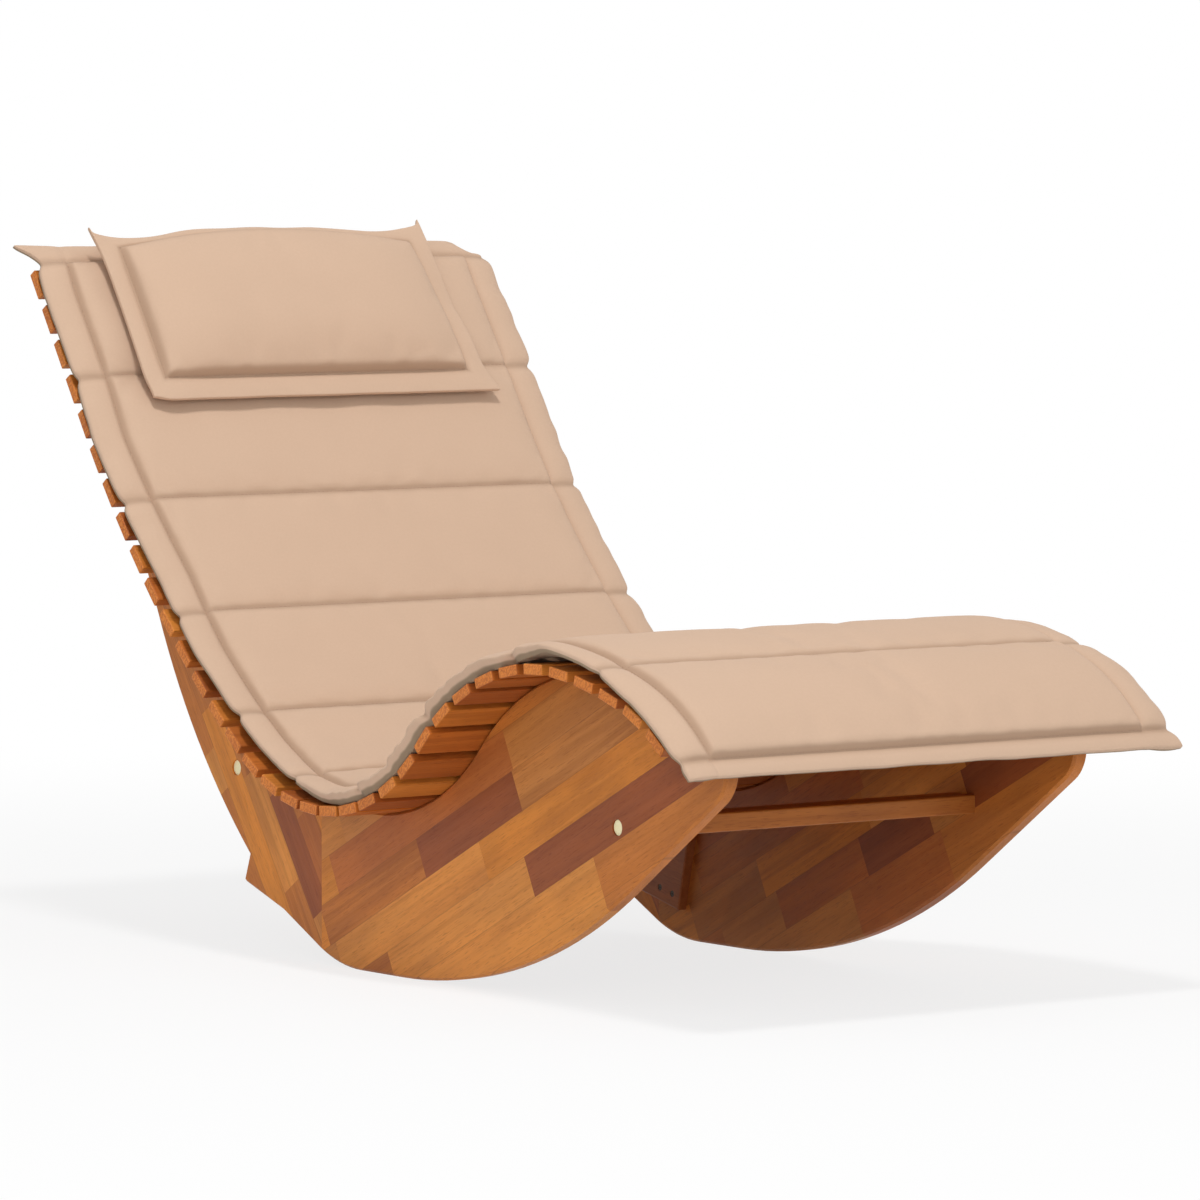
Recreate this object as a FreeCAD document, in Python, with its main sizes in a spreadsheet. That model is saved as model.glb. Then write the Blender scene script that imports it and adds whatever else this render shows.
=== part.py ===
import FreeCAD, Part
import Sketcher
import math
import os

# Sun lounger: thirty-five slats screwed across two curved side panels that
# stand on a rocker edge and a heel, with a quilted pad and a loose pillow.
# X runs across, +Y towards the head, +Z up, lengths in millimetres.

doc = FreeCAD.newDocument("sun_lounger")

# Driving dimensions

sheet = doc.addObject("Spreadsheet::Sheet", "Sizes")
sheet.Label = "Sizes"

DRIVING = [
    ("slat_length", 690.0),
    ("slat_width", 36.0),
    ("slat_thickness", 12.5),
    ("slat_round", 1.6),
    ("slat_seat_gap", 0.1),
    ("head_slope_degrees", 57.1),
    ("head_run", 235.0),
    ("back_radius", 1544.0),
    ("back_turn_degrees", 19.1),
    ("seat_radius", 287.0),
    ("seat_turn_degrees", 85.5),
    ("knee_radius", 316.0),
    ("knee_turn_degrees", 56.0),
    ("shin_radius", 590.0),
    ("shin_turn_degrees", 10.2),
    ("foot_radius", 253.0),
    ("foot_turn_degrees", 31.5),
    ("head_margin", 12.0),
    ("nose_margin", 16.0),
    ("back_pitch", 50.4),
    ("hip_pitch", 47.0),
    ("seat_pitch", 42.5),
    ("leg_pitch", 48.4),
    ("panel_spread", 524.0),
    ("board_thickness", 20.0),
    ("board_bevel", 3.0),
    ("seat_height", 192.5),
    ("rocker_offset", 27.0),
    ("rocker_flat_front", 25.0),
    ("rocker_flat_rear", 64.0),
    ("front_rocker_radius", 800.0),
    ("front_rise_degrees", 34.5),
    ("rear_rocker_radius", 210.0),
    ("rear_rise_degrees", 28.0),
    ("nose_radius", 45.0),
    ("heel_start_reach", 232.0),
    ("heel_start_lift", 58.5),
    ("heel_tip_reach", 316.0),
    ("heel_tip_lift", 86.5),
    ("heel_back_height", 33.0),
    ("heel_back_lean", 12.0),
    ("heel_round", 4.0),
    ("rail_head_depth", 38.0),
    ("rail_back_station", 437.0),
    ("rail_back_depth", 105.0),
    ("rail_hip_station", 575.0),
    ("rail_hip_depth", 140.0),
    ("joint_reach", 145.0),
    ("rear_bolt_station", 673.0),
    ("rear_bolt_depth", 104.0),
    ("front_bolt_station", 1513.0),
    ("front_bolt_depth", 170.0),
    ("stretcher_width", 44.0),
    ("stretcher_thickness", 22.0),
    ("stretcher_round", 2.5),
    ("stretcher_tilt_degrees", 40.0),
    ("batten_width", 110.0),
    ("batten_height", 115.0),
    ("batten_thickness", 12.5),
    ("batten_chamfer", 1.5),
    ("batten_lift", 38.5),
    ("batten_lean_degrees", 13.0),
    ("batten_screw_inset", 16.0),
    ("screw_shank", 4.0),
    ("screw_head", 8.0),
    ("screw_length", 34.0),
    ("screw_tip", 5.0),
    ("screw_point", 1.0),
    ("screw_sink", 0.5),
    ("screw_clearance", 0.15),
    ("screw_drive", 2.6),
    ("screw_drive_depth", 1.6),
    ("short_screw_length", 26.0),
    ("bolt_shank", 8.0),
    ("bolt_head", 13.0),
    ("bolt_head_height", 5.0),
    ("bolt_key", 5.0),
    ("bolt_key_depth", 3.0),
    ("bolt_length", 55.0),
    ("bolt_clearance", 0.3),
    ("cap_diameter", 19.0),
    ("cap_thickness", 1.8),
    ("cap_plug_diameter", 13.0),
    ("cap_plug_height", 1.2),
    ("cap_recess", 2.2),
    ("cap_round", 0.6),
    ("nut_diameter", 10.0),
    ("nut_height", 14.0),
    ("nut_clearance", 0.3),
    ("nut_inset", 34.0),
    ("pad_width", 686.0),
    ("pad_head_shift", -12.0),
    ("pad_foot_shift", 8.0),
    ("pad_head_flange", 29.0),
    ("pad_foot_flange", 22.0),
    ("pad_side_flange", 43.0),
    ("pad_flange_thickness", 6.0),
    ("pad_seam_thickness", 12.0),
    ("pad_belly", 9.0),
    ("pad_crown", 29.0),
    ("pad_shoulder", 60.0),
    ("pad_channel_pitch", 170.4),
    ("pad_seat_gap", 0.4),
    ("pillow_width", 524.0),
    ("pillow_height", 250.0),
    ("pillow_foot_station", 234.0),
    ("pillow_shift", -12.0),
    ("pillow_flange", 34.0),
    ("pillow_flange_thickness", 5.0),
    ("pillow_belly", 10.0),
    ("pillow_crown", 38.0),
    ("pillow_seat_gap", 0.4),
    ("overrun", 1.0),
]

for row, (alias, value) in enumerate(DRIVING, start=1):
    sheet.set("A%d" % row, alias)
    sheet.set("B%d" % row, str(value))
    sheet.setAlias("B%d" % row, alias)
doc.recompute()

BACK_GAP_COUNT = 13
HIP_GAP_COUNT = 4
SEAT_GAP_COUNT = 4
LEG_GAP_COUNT = 13
PAD_CHANNEL_COUNT = 10
BATTEN_COLUMN_COUNT = 4

X_AXIS = FreeCAD.Vector(1, 0, 0)
Y_AXIS = FreeCAD.Vector(0, 1, 0)
Z_AXIS = FreeCAD.Vector(0, 0, 1)
SIDES = (("left", -1), ("right", 1))

pieces = []


def size(alias):
    return float(sheet.get(alias))


def name_piece(piece, label):
    piece.Label = label
    pieces.append(piece)
    return piece


# Seat path: the top edge of the side panels in the YZ plane, from the head
# to the foot, as straight runs and arcs that meet in line. A station is a
# length along it and a depth is a distance below it.

SEAT_ARCS = [
    ("back_radius", "back_turn_degrees", 1),
    ("seat_radius", "seat_turn_degrees", 1),
    ("knee_radius", "knee_turn_degrees", -1),
    ("shin_radius", "shin_turn_degrees", -1),
    ("foot_radius", "foot_turn_degrees", -1),
]


def seat_path():
    """Each run: first station, length, start point, start angle, signed radius."""
    angle = -math.radians(size("head_slope_degrees"))
    length = size("head_run")
    runs = [(0.0, length, (0.0, 0.0), angle, 0.0)]
    station = length
    start = (-length * math.cos(angle), length * math.sin(angle))
    for radius_alias, turn_alias, sign in SEAT_ARCS:
        radius = sign * size(radius_alias)
        turn = sign * math.radians(size(turn_alias))
        runs.append((station, abs(radius * turn), start, angle, radius))
        station += abs(radius * turn)
        start = arc_end(start, angle, turn, radius)
        angle += turn
    return runs


def arc_end(start, angle, turn, radius):
    y = start[0] - radius * (math.sin(angle + turn) - math.sin(angle))
    z = start[1] - radius * (math.cos(angle + turn) - math.cos(angle))
    return (y, z)


PATH = seat_path()
PATH_END = PATH[-1][0] + PATH[-1][1]


def run_at(station):
    for run in PATH:
        if station <= run[0] + run[1]:
            return run
    return PATH[-1]


def path_angle(station):
    first, _, _, angle, radius = run_at(station)
    if radius == 0:
        return angle
    return angle + (station - first) / radius


def path_point(station, depth=0.0):
    first, _, start, angle, radius = run_at(station)
    along = station - first
    if radius == 0:
        y = start[0] - along * math.cos(angle)
        z = start[1] + along * math.sin(angle)
    else:
        y, z = arc_end(start, angle, along / radius, radius)
    here = path_angle(station)
    return FreeCAD.Vector(0, y - depth * math.sin(here), z - depth * math.cos(here))


def station_at_y(y):
    low, high = 0.0, PATH_END
    while high - low > PATH_END * 1e-12:
        middle = (low + high) / 2
        if path_point(middle).y > y:
            low = middle
        else:
            high = middle
    return (low + high) / 2


def path_frame(station, depth=0.0, x=0.0):
    """Placement with its own Y along the path towards the head and Z square to it."""
    turn = FreeCAD.Rotation(X_AXIS, -math.degrees(path_angle(station)))
    return FreeCAD.Placement(path_point(station, depth) + X_AXIS * x, turn)


def slat_stations():
    pitches = [size("back_pitch")] * BACK_GAP_COUNT
    pitches += [size("hip_pitch")] * HIP_GAP_COUNT
    pitches += [size("seat_pitch")] * SEAT_GAP_COUNT
    pitches += [size("leg_pitch")] * LEG_GAP_COUNT
    station = size("head_margin") + size("slat_width") / 2
    stations = [station]
    for pitch in pitches:
        station += pitch
        stations.append(station)
    return stations


def slat_lift(station):
    """A flat slat bridges a hollow curve, so its middle stands a little above it."""
    lift = size("slat_seat_gap")
    half = size("slat_width") / 2
    radii = [run_at(station + shift)[4] for shift in (-half, 0.0, half)]
    hollow = [radius for radius in radii if radius > 0]
    if hollow:
        lift += half * half / (2 * min(hollow))
    return lift


SLATS = slat_stations()
PANEL_END = SLATS[-1] + size("slat_width") / 2 + size("nose_margin")
OUTER_X = size("panel_spread") / 2
INNER_X = OUTER_X - size("board_thickness")
PANEL_MIDDLE_X = OUTER_X - size("board_thickness") / 2


# Sketch helpers: sketches hold lines and arcs on an origin plane of their body.

def origin_plane(body, role):
    for feature in body.Origin.OriginFeatures:
        if feature.Role == role:
            return feature
    raise ValueError(role)


def new_sketch(body, name, role):
    sketch = body.newObject("Sketcher::SketchObject", name)
    sketch.AttachmentSupport = [(origin_plane(body, role), "")]
    sketch.MapMode = "FlatFace"
    return sketch


def draw_rectangle(sketch, width_expression, height_expression, width, height):
    """A rectangle centred on the sketch origin, its two sizes bound to the sheet."""
    right, top = width / 2, height / 2
    corners = [(-right, -top), (right, -top), (right, top), (-right, top)]
    points = [FreeCAD.Vector(u, v, 0) for u, v in corners]
    for index in range(len(points)):
        following = points[(index + 1) % len(points)]
        sketch.addGeometry(Part.LineSegment(points[index], following), False)
    for index in range(len(points)):
        following = (index + 1) % len(points)
        sketch.addConstraint(Sketcher.Constraint("Coincident", index, 2, following, 1))
    for index, kind in enumerate(("Horizontal", "Vertical", "Horizontal", "Vertical")):
        sketch.addConstraint(Sketcher.Constraint(kind, index))
    sketch.addConstraint(Sketcher.Constraint("Symmetric", 0, 1, 2, 1, -1, 1))
    sketch.addConstraint(Sketcher.Constraint("DistanceX", 0, 1, 0, 2, width))
    sketch.renameConstraint(sketch.ConstraintCount - 1, "across")
    sketch.addConstraint(Sketcher.Constraint("DistanceY", 1, 1, 1, 2, height))
    sketch.renameConstraint(sketch.ConstraintCount - 1, "upright")
    sketch.setExpression("Constraints.across", width_expression)
    sketch.setExpression("Constraints.upright", height_expression)


def pad_sketch(body, sketch, name, length_expression):
    """Pad a sketch by the same amount to both sides of its plane."""
    pad = body.newObject("PartDesign::Pad", name)
    pad.Profile = sketch
    pad.Midplane = True
    pad.setExpression("Length", length_expression)
    sketch.Visibility = False
    return pad


def arc_through(first, middle, last):
    """The sketch arc through three points, always drawn anticlockwise."""
    cross = (middle - first).cross(last - first)
    if cross.z < 0:
        first, last = last, first
    return Part.Arc(first, middle, last)


def in_sketch(point):
    """A point of the YZ plane in the sketch's own two directions."""
    return FreeCAD.Vector(point.y, point.z, 0)


def polar(centre, radius, degrees):
    """The point of a circle in the YZ plane, at an angle from straight down."""
    turn = math.radians(degrees)
    return centre + FreeCAD.Vector(0, radius * math.sin(turn), -radius * math.cos(turn))


# Screws and bolts: one form each, placed again and again.

def screw_form(name, length_alias):
    head = doc.addObject("Part::Cone", name + "_head")
    head.setExpression("Radius1", "Sizes.screw_shank / 2")
    head.setExpression("Radius2", "Sizes.screw_head / 2")
    head.setExpression("Height", "(Sizes.screw_head - Sizes.screw_shank) / 2")
    head.setExpression(".Placement.Base.z", "-(Sizes.screw_head - Sizes.screw_shank) / 2")
    shank = doc.addObject("Part::Cylinder", name + "_shank")
    shank.setExpression("Radius", "Sizes.screw_shank / 2")
    shank.setExpression("Height", "Sizes.%s - Sizes.screw_tip" % length_alias)
    shank.setExpression(".Placement.Base.z", "-(Sizes.%s - Sizes.screw_tip)" % length_alias)
    tip = doc.addObject("Part::Cone", name + "_tip")
    tip.setExpression("Radius1", "Sizes.screw_point / 2")
    tip.setExpression("Radius2", "Sizes.screw_shank / 2")
    tip.setExpression("Height", "Sizes.screw_tip")
    tip.setExpression(".Placement.Base.z", "-Sizes.%s" % length_alias)
    solid = doc.addObject("Part::MultiFuse", name + "_solid")
    solid.Shapes = [head, shank, tip]
    drive = doc.addObject("Part::Prism", name + "_drive")
    drive.Polygon = 4
    drive.setExpression("Circumradius", "Sizes.screw_drive / 2")
    drive.setExpression("Height", "Sizes.screw_drive_depth + Sizes.overrun")
    drive.setExpression(".Placement.Base.z", "-Sizes.screw_drive_depth")
    form = doc.addObject("Part::Cut", name)
    form.Base = solid
    form.Tool = drive
    return form


def screw_bore(name, length_alias, sunk):
    """The room that a screw needs, a little wider than the screw itself."""
    shank = doc.addObject("Part::Cylinder", name + "_shank")
    shank.setExpression("Radius", "Sizes.screw_shank / 2 + Sizes.screw_clearance")
    shank.setExpression("Height", "Sizes.%s + Sizes.overrun" % length_alias)
    shank.setExpression(".Placement.Base.z", "-Sizes.%s - Sizes.overrun" % length_alias)
    if not sunk:
        return shank
    sink = doc.addObject("Part::Cone", name + "_sink")
    rise = "(Sizes.screw_head - Sizes.screw_shank) / 2"
    sink.setExpression("Radius1", "Sizes.screw_shank / 2 + Sizes.screw_clearance")
    sink.setExpression("Radius2", "Sizes.screw_head / 2 + Sizes.screw_clearance")
    sink.setExpression("Height", rise)
    sink.setExpression(".Placement.Base.z", "-" + rise)
    mouth = doc.addObject("Part::Cylinder", name + "_mouth")
    mouth.setExpression("Radius", "Sizes.screw_head / 2 + Sizes.screw_clearance")
    mouth.setExpression("Height", "Sizes.screw_sink + Sizes.overrun")
    form = doc.addObject("Part::MultiFuse", name)
    form.Shapes = [shank, sink, mouth]
    return form


def bolt_form():
    head = doc.addObject("Part::Cylinder", "bolt_head_form")
    head.setExpression("Radius", "Sizes.bolt_head / 2")
    head.setExpression("Height", "Sizes.bolt_head_height")
    shank = doc.addObject("Part::Cylinder", "bolt_shank_form")
    shank.setExpression("Radius", "Sizes.bolt_shank / 2")
    shank.setExpression("Height", "Sizes.bolt_length")
    shank.setExpression(".Placement.Base.z", "-Sizes.bolt_length")
    solid = doc.addObject("Part::MultiFuse", "bolt_solid_form")
    solid.Shapes = [head, shank]
    key = doc.addObject("Part::Prism", "bolt_key_form")
    key.Polygon = 6
    key.setExpression("Circumradius", "Sizes.bolt_key / 2")
    key.setExpression("Height", "Sizes.bolt_key_depth + Sizes.overrun")
    key.setExpression(".Placement.Base.z", "Sizes.bolt_head_height - Sizes.bolt_key_depth")
    form = doc.addObject("Part::Cut", "bolt_form")
    form.Base = solid
    form.Tool = key
    return form


def cap_form():
    disc = doc.addObject("Part::Cylinder", "cap_disc_form")
    disc.setExpression("Radius", "Sizes.cap_diameter / 2")
    disc.setExpression("Height", "Sizes.cap_thickness")
    plug = doc.addObject("Part::Cylinder", "cap_plug_form")
    plug.setExpression("Radius", "Sizes.cap_plug_diameter / 2")
    plug.setExpression("Height", "Sizes.cap_plug_height")
    plug.setExpression(".Placement.Base.z", "-Sizes.cap_plug_height")
    solid = doc.addObject("Part::MultiFuse", "cap_solid_form")
    solid.Shapes = [disc, plug]
    doc.recompute()
    form = doc.addObject("Part::Fillet", "cap_form")
    form.Base = solid
    rim = []
    top = size("cap_thickness")
    for index, edge in enumerate(solid.Shape.Edges, start=1):
        low, high = edge.BoundBox.ZMin, edge.BoundBox.ZMax
        if abs(low - top) < top / 100 and abs(high - top) < top / 100:
            rim.append((index, size("cap_round"), size("cap_round")))
    form.Edges = rim
    return form


def nut_form():
    barrel = doc.addObject("Part::Cylinder", "nut_barrel_form")
    barrel.setExpression("Radius", "Sizes.nut_diameter / 2")
    barrel.setExpression("Height", "Sizes.nut_height")
    barrel.setExpression(".Placement.Base.z", "-Sizes.nut_height / 2")
    thread = doc.addObject("Part::Cylinder", "nut_thread_form")
    thread.setExpression("Radius", "Sizes.bolt_shank / 2 + Sizes.bolt_clearance / 2")
    thread.setExpression("Height", "Sizes.nut_diameter + 2 * Sizes.overrun")
    thread.Placement.Rotation = FreeCAD.Rotation(Y_AXIS, 90)
    thread.setExpression(".Placement.Base.x", "-Sizes.nut_diameter / 2 - Sizes.overrun")
    form = doc.addObject("Part::Cut", "nut_form")
    form.Base = barrel
    form.Tool = thread
    return form


SLAT_SCREW = screw_form("slat_screw_form", "screw_length")
BATTEN_SCREW = screw_form("batten_screw_form", "short_screw_length")
SLAT_SCREW_BORE = screw_bore("slat_screw_bore", "screw_length", True)
BATTEN_SCREW_BORE = screw_bore("batten_screw_bore", "short_screw_length", True)
BOLT = bolt_form()
CAP = cap_form()
NUT = nut_form()
doc.recompute()


def copies(form, placements):
    shapes = []
    for placement in placements:
        shape = form.Shape.copy()
        shape.Placement = placement.multiply(shape.Placement)
        shapes.append(shape)
    return shapes


def group_of(label, form, placements):
    """Like fasteners share one piece, as separate solids."""
    group = doc.addObject("Part::Feature", label)
    group.Shape = Part.makeCompound(copies(form, placements))
    return name_piece(group, label)


def drilled(blank, label, bores):
    """The blank with a list of bore shapes cut out of it."""
    tools = doc.addObject("Part::Feature", label + "_bores")
    tools.Shape = Part.makeCompound(bores)
    cut = doc.addObject("Part::Cut", label)
    cut.Base = blank
    cut.Tool = tools
    return name_piece(cut, label)


# Fastener places

def slat_screw_places(side):
    """Screw heads sit just under the slat faces, over the middle of each panel."""
    places = []
    for station in SLATS:
        rise = slat_lift(station) + size("slat_thickness") - size("screw_sink")
        places.append(path_frame(station, -rise, side * PANEL_MIDDLE_X))
    return places


def along_x(point, x, side):
    """Placement whose own Z points outwards along X on the given side."""
    turn = FreeCAD.Rotation(Y_AXIS, 90 * side)
    return FreeCAD.Placement(FreeCAD.Vector(x, point.y, point.z), turn)


BOLT_POINTS = {
    "rear": path_point(size("rear_bolt_station"), size("rear_bolt_depth")),
    "front": path_point(size("front_bolt_station"), size("front_bolt_depth")),
}
CAP_TOP_X = OUTER_X - size("cap_recess")
CAP_BASE_X = CAP_TOP_X - size("cap_thickness")
BOLT_SEAT_X = CAP_BASE_X - size("cap_plug_height") - size("bolt_clearance") - size("bolt_head_height")
NUT_X = INNER_X - size("nut_inset")


def bolt_bores(side):
    """A recess for each cap, a seat for each bolt head and a hole through."""
    bores = []
    for point in BOLT_POINTS.values():
        steps = [
            (size("cap_diameter") + size("bolt_clearance"), CAP_BASE_X),
            (size("bolt_head") + size("bolt_clearance"), BOLT_SEAT_X),
            (size("bolt_shank") + size("bolt_clearance"), INNER_X - size("overrun")),
        ]
        for diameter, floor_x in steps:
            reach = OUTER_X + size("overrun") - floor_x
            base = FreeCAD.Vector(side * floor_x, point.y, point.z)
            bores.append(Part.makeCylinder(diameter / 2, reach, base, X_AXIS * side))
    return bores


# Side panels: a rear board with the rail and heel, and a front board with
# the nose, butted on an upright line over the rocker edge.

def rocker_middle():
    """How far along and how high the rocker's middle is, below the seat path's lowest place."""
    first, _, _, angle, radius = PATH[2]
    lowest = path_point(first - angle * radius)
    return lowest.y - size("rocker_offset"), lowest.z - size("seat_height")


ROCKER_Y, FLOOR_Z = rocker_middle()
CORNER_ROOM_SHARE = 0.9


def from_rocker(reach, lift):
    """A place by its reach behind the rocker's middle and its lift off the floor."""
    return FreeCAD.Vector(0, ROCKER_Y + reach, FLOOR_Z + lift)


FLAT_FRONT = size("rocker_flat_front")
FLAT_REAR = size("rocker_flat_rear")
REAR_CENTRE = from_rocker(FLAT_REAR, size("rear_rocker_radius"))
FRONT_CENTRE = from_rocker(-FLAT_FRONT, size("front_rocker_radius"))
JOINT_Y = ROCKER_Y + size("joint_reach")
JOINT_STATION = station_at_y(JOINT_Y)
JOINT_TURN = math.degrees(math.asin((size("joint_reach") - FLAT_REAR) / size("rear_rocker_radius")))
JOINT_FOOT = polar(REAR_CENTRE, size("rear_rocker_radius"), JOINT_TURN)


class Outline:
    """A closed outline in the YZ plane, drawn edge after edge."""

    def __init__(self, start):
        self.start = start
        self.here = start
        self.edges = []

    def line(self, point):
        ends = [in_sketch(self.here), in_sketch(point)]
        self.edges.append(Part.LineSegment(*ends))
        self.here = point

    def arc(self, middle, point):
        self.edges.append(arc_through(*[in_sketch(p) for p in (self.here, middle, point)]))
        self.here = point

    def follow_path(self, first, last):
        """Along the seat path between two stations, either way."""
        low, high = min(first, last), max(first, last)
        cuts = [run[0] for run in PATH if low < run[0] < high]
        stops = [low] + cuts + [high]
        if first > last:
            stops.reverse()
        for begin, end in zip(stops, stops[1:]):
            middle = (begin + end) / 2
            if run_at(middle)[4] == 0:
                self.line(path_point(end))
            else:
                self.arc(path_point(middle), path_point(end))

    def rounded_corner(self, corner, radius, target):
        """A line to a corner that is rounded on the way to the target."""
        into = (corner - self.here).normalize()
        out = (target - corner).normalize()
        half_turn = into.getAngle(out) / 2
        room = min(corner.distanceToPoint(self.here), corner.distanceToPoint(target))
        setback = min(radius * math.tan(half_turn), room * CORNER_ROOM_SHARE)
        bend = setback / math.tan(half_turn)
        begin = corner - into * setback
        end = corner + out * setback
        inward = (out - into).normalize()
        middle = corner + inward * (bend / math.cos(half_turn) - bend)
        self.line(begin)
        self.arc(middle, end)

    def close(self):
        self.line(self.start)
        return self.edges


def rear_board_outline():
    head_top = path_point(0.0)
    outline = Outline(head_top)
    outline.follow_path(0.0, JOINT_STATION)
    outline.line(JOINT_FOOT)
    rise = size("rear_rise_degrees")
    rear_radius = size("rear_rocker_radius")
    outline.arc(polar(REAR_CENTRE, rear_radius, (JOINT_TURN + rise) / 2),
                polar(REAR_CENTRE, rear_radius, rise))
    outline.line(from_rocker(size("heel_start_reach"), size("heel_start_lift")))
    tip = from_rocker(size("heel_tip_reach"), size("heel_tip_lift"))
    notch = tip + FreeCAD.Vector(0, -size("heel_back_lean"), size("heel_back_height"))
    outline.rounded_corner(tip, size("heel_round"), notch)
    outline.line(notch)
    outline.arc(path_point(size("rail_hip_station"), size("rail_hip_depth")),
                path_point(size("rail_back_station"), size("rail_back_depth")))
    outline.line(path_point(0.0, size("rail_head_depth")))
    return outline.close()


def front_board_outline():
    outline = Outline(path_point(JOINT_STATION))
    outline.follow_path(JOINT_STATION, PANEL_END)
    nose_top = outline.here
    rise = math.radians(size("front_rise_degrees"))
    bend = polar(FRONT_CENTRE, size("front_rocker_radius"), -size("front_rise_degrees"))
    corner = FreeCAD.Vector(0, nose_top.y, bend.z + (bend.y - nose_top.y) * math.tan(rise))
    outline.rounded_corner(corner, size("nose_radius"), bend)
    outline.line(bend)
    outline.arc(polar(FRONT_CENTRE, size("front_rocker_radius"), -size("front_rise_degrees") / 2),
                from_rocker(-FLAT_FRONT, 0.0))
    outline.line(from_rocker(FLAT_REAR, 0.0))
    outline.arc(polar(REAR_CENTRE, size("rear_rocker_radius"), JOINT_TURN / 2), JOINT_FOOT)
    return outline.close()


def rim_edges(shape):
    """Numbers of the edges round both faces, without the upright ones at the butt joint."""
    near = size("board_bevel") / 1000
    numbers = []
    for number, edge in enumerate(shape.Edges, start=1):
        if edge.BoundBox.XLength < near < edge.BoundBox.YLength:
            numbers.append(number)
    return numbers


def board_blank(name, edges, side):
    """A board of even thickness with the given outline, its rim bevelled on both faces."""
    sketch = doc.addObject("Sketcher::SketchObject", name + "_outline")
    upright = FreeCAD.Rotation(Y_AXIS, Z_AXIS, X_AXIS)
    sketch.Placement = FreeCAD.Placement(X_AXIS * (side * PANEL_MIDDLE_X), upright)
    for edge in edges:
        sketch.addGeometry(edge, False)
    plank = doc.addObject("Part::Extrusion", name + "_plank")
    plank.Base = sketch
    plank.DirMode = "Normal"
    plank.Symmetric = True
    plank.Solid = True
    plank.setExpression("LengthFwd", "Sizes.board_thickness")
    doc.recompute()
    bevelled = doc.addObject("Part::Chamfer", name + "_blank")
    bevelled.Base = plank
    rim = size("board_bevel")
    bevelled.Edges = [(number, rim, rim) for number in rim_edges(plank.Shape)]
    return bevelled


# Battens: a plain board screwed over each joint on the inside.

def batten_frame(side):
    """The batten's own frame: its middle, with Y along its width and Z up its height."""
    lean = FreeCAD.Rotation(X_AXIS, size("batten_lean_degrees"))
    turn = math.radians(size("batten_lean_degrees"))
    foot = FreeCAD.Vector(0, JOINT_Y, FLOOR_Z + size("batten_lift"))
    up = FreeCAD.Vector(0, -math.sin(turn), math.cos(turn))
    middle = foot + up * (size("batten_height") / 2 + size("batten_width") / 2 * math.sin(turn))
    x = side * (INNER_X - size("batten_thickness") / 2)
    return FreeCAD.Placement(FreeCAD.Vector(x, middle.y, middle.z), lean)


def batten_screw_places(side):
    inset = size("batten_screw_inset")
    reach = size("batten_width") / 2 - inset
    step = 2 * reach / (BATTEN_COLUMN_COUNT - 1)
    rows = (-size("batten_height") / 2 + inset, size("batten_height") / 2 - inset)
    face = size("batten_thickness") / 2 - size("screw_sink")
    places = []
    for row in rows:
        for column in range(BATTEN_COLUMN_COUNT):
            spot = FreeCAD.Vector(-side * face, -reach + column * step, row)
            inward = FreeCAD.Placement(spot, FreeCAD.Rotation(Y_AXIS, -90 * side))
            places.append(batten_frame(side).multiply(inward))
    return places


def make_panels():
    for side_name, side in SIDES:
        bores = copies(SLAT_SCREW_BORE, slat_screw_places(side))
        bores += copies(BATTEN_SCREW_BORE, batten_screw_places(side))
        bores += bolt_bores(side)
        for end_name, edges in (("rear", rear_board_outline()), ("front", front_board_outline())):
            label = "%s_%s_board" % (side_name, end_name)
            blank = board_blank(label, edges, side)
            doc.recompute()
            reached = [bore for bore in bores if bore.BoundBox.intersect(blank.Shape.BoundBox)]
            drilled(blank, label, reached)


def make_battens():
    for side_name, side in SIDES:
        label = side_name + "_joint_batten"
        body = doc.addObject("PartDesign::Body", label + "_blank")
        sketch = new_sketch(body, label + "_outline", "YZ_Plane")
        draw_rectangle(sketch, "Sizes.batten_width", "Sizes.batten_height",
                       size("batten_width"), size("batten_height"))
        pad = pad_sketch(body, sketch, label + "_plank", "Sizes.batten_thickness")
        doc.recompute()
        chamfer = body.newObject("PartDesign::Chamfer", label + "_edges")
        inner_x = -side * size("batten_thickness") / 2
        chamfer.Base = (pad, edges_at_x(pad.Shape, inner_x))
        chamfer.setExpression("Size", "Sizes.batten_chamfer")
        body.Placement = batten_frame(side)
        doc.recompute()
        drilled(body, label, copies(BATTEN_SCREW_BORE, batten_screw_places(side)))


def edges_at_x(shape, x):
    """Names of the edges that lie wholly in the plane at x."""
    near = abs(x) / 1000
    names = []
    for index, edge in enumerate(shape.Edges, start=1):
        if abs(edge.BoundBox.XMin - x) < near and abs(edge.BoundBox.XMax - x) < near:
            names.append("Edge%d" % index)
    return names


# Slats

def make_slats():
    for number, station in enumerate(SLATS, start=1):
        label = "slat_%02d" % number
        body = doc.addObject("PartDesign::Body", label + "_blank")
        sketch = new_sketch(body, label + "_section", "YZ_Plane")
        draw_rectangle(sketch, "Sizes.slat_width", "Sizes.slat_thickness",
                       size("slat_width"), size("slat_thickness"))
        pad = pad_sketch(body, sketch, label + "_bar", "Sizes.slat_length")
        doc.recompute()
        rounded = body.newObject("PartDesign::Fillet", label + "_edges")
        rounded.Base = (pad, ["Edge%d" % (index + 1) for index in range(len(pad.Shape.Edges))])
        rounded.setExpression("Radius", "Sizes.slat_round")
        body.Placement = path_frame(station, -slat_lift(station) - size("slat_thickness") / 2)
        bores = []
        for _, side in SIDES:
            place = slat_screw_places(side)[number - 1]
            bores += copies(SLAT_SCREW_BORE, [place])
        drilled(body, label, bores)


# Stretchers: two bars between the panels, drawn tight by bolts and barrel nuts.

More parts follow.
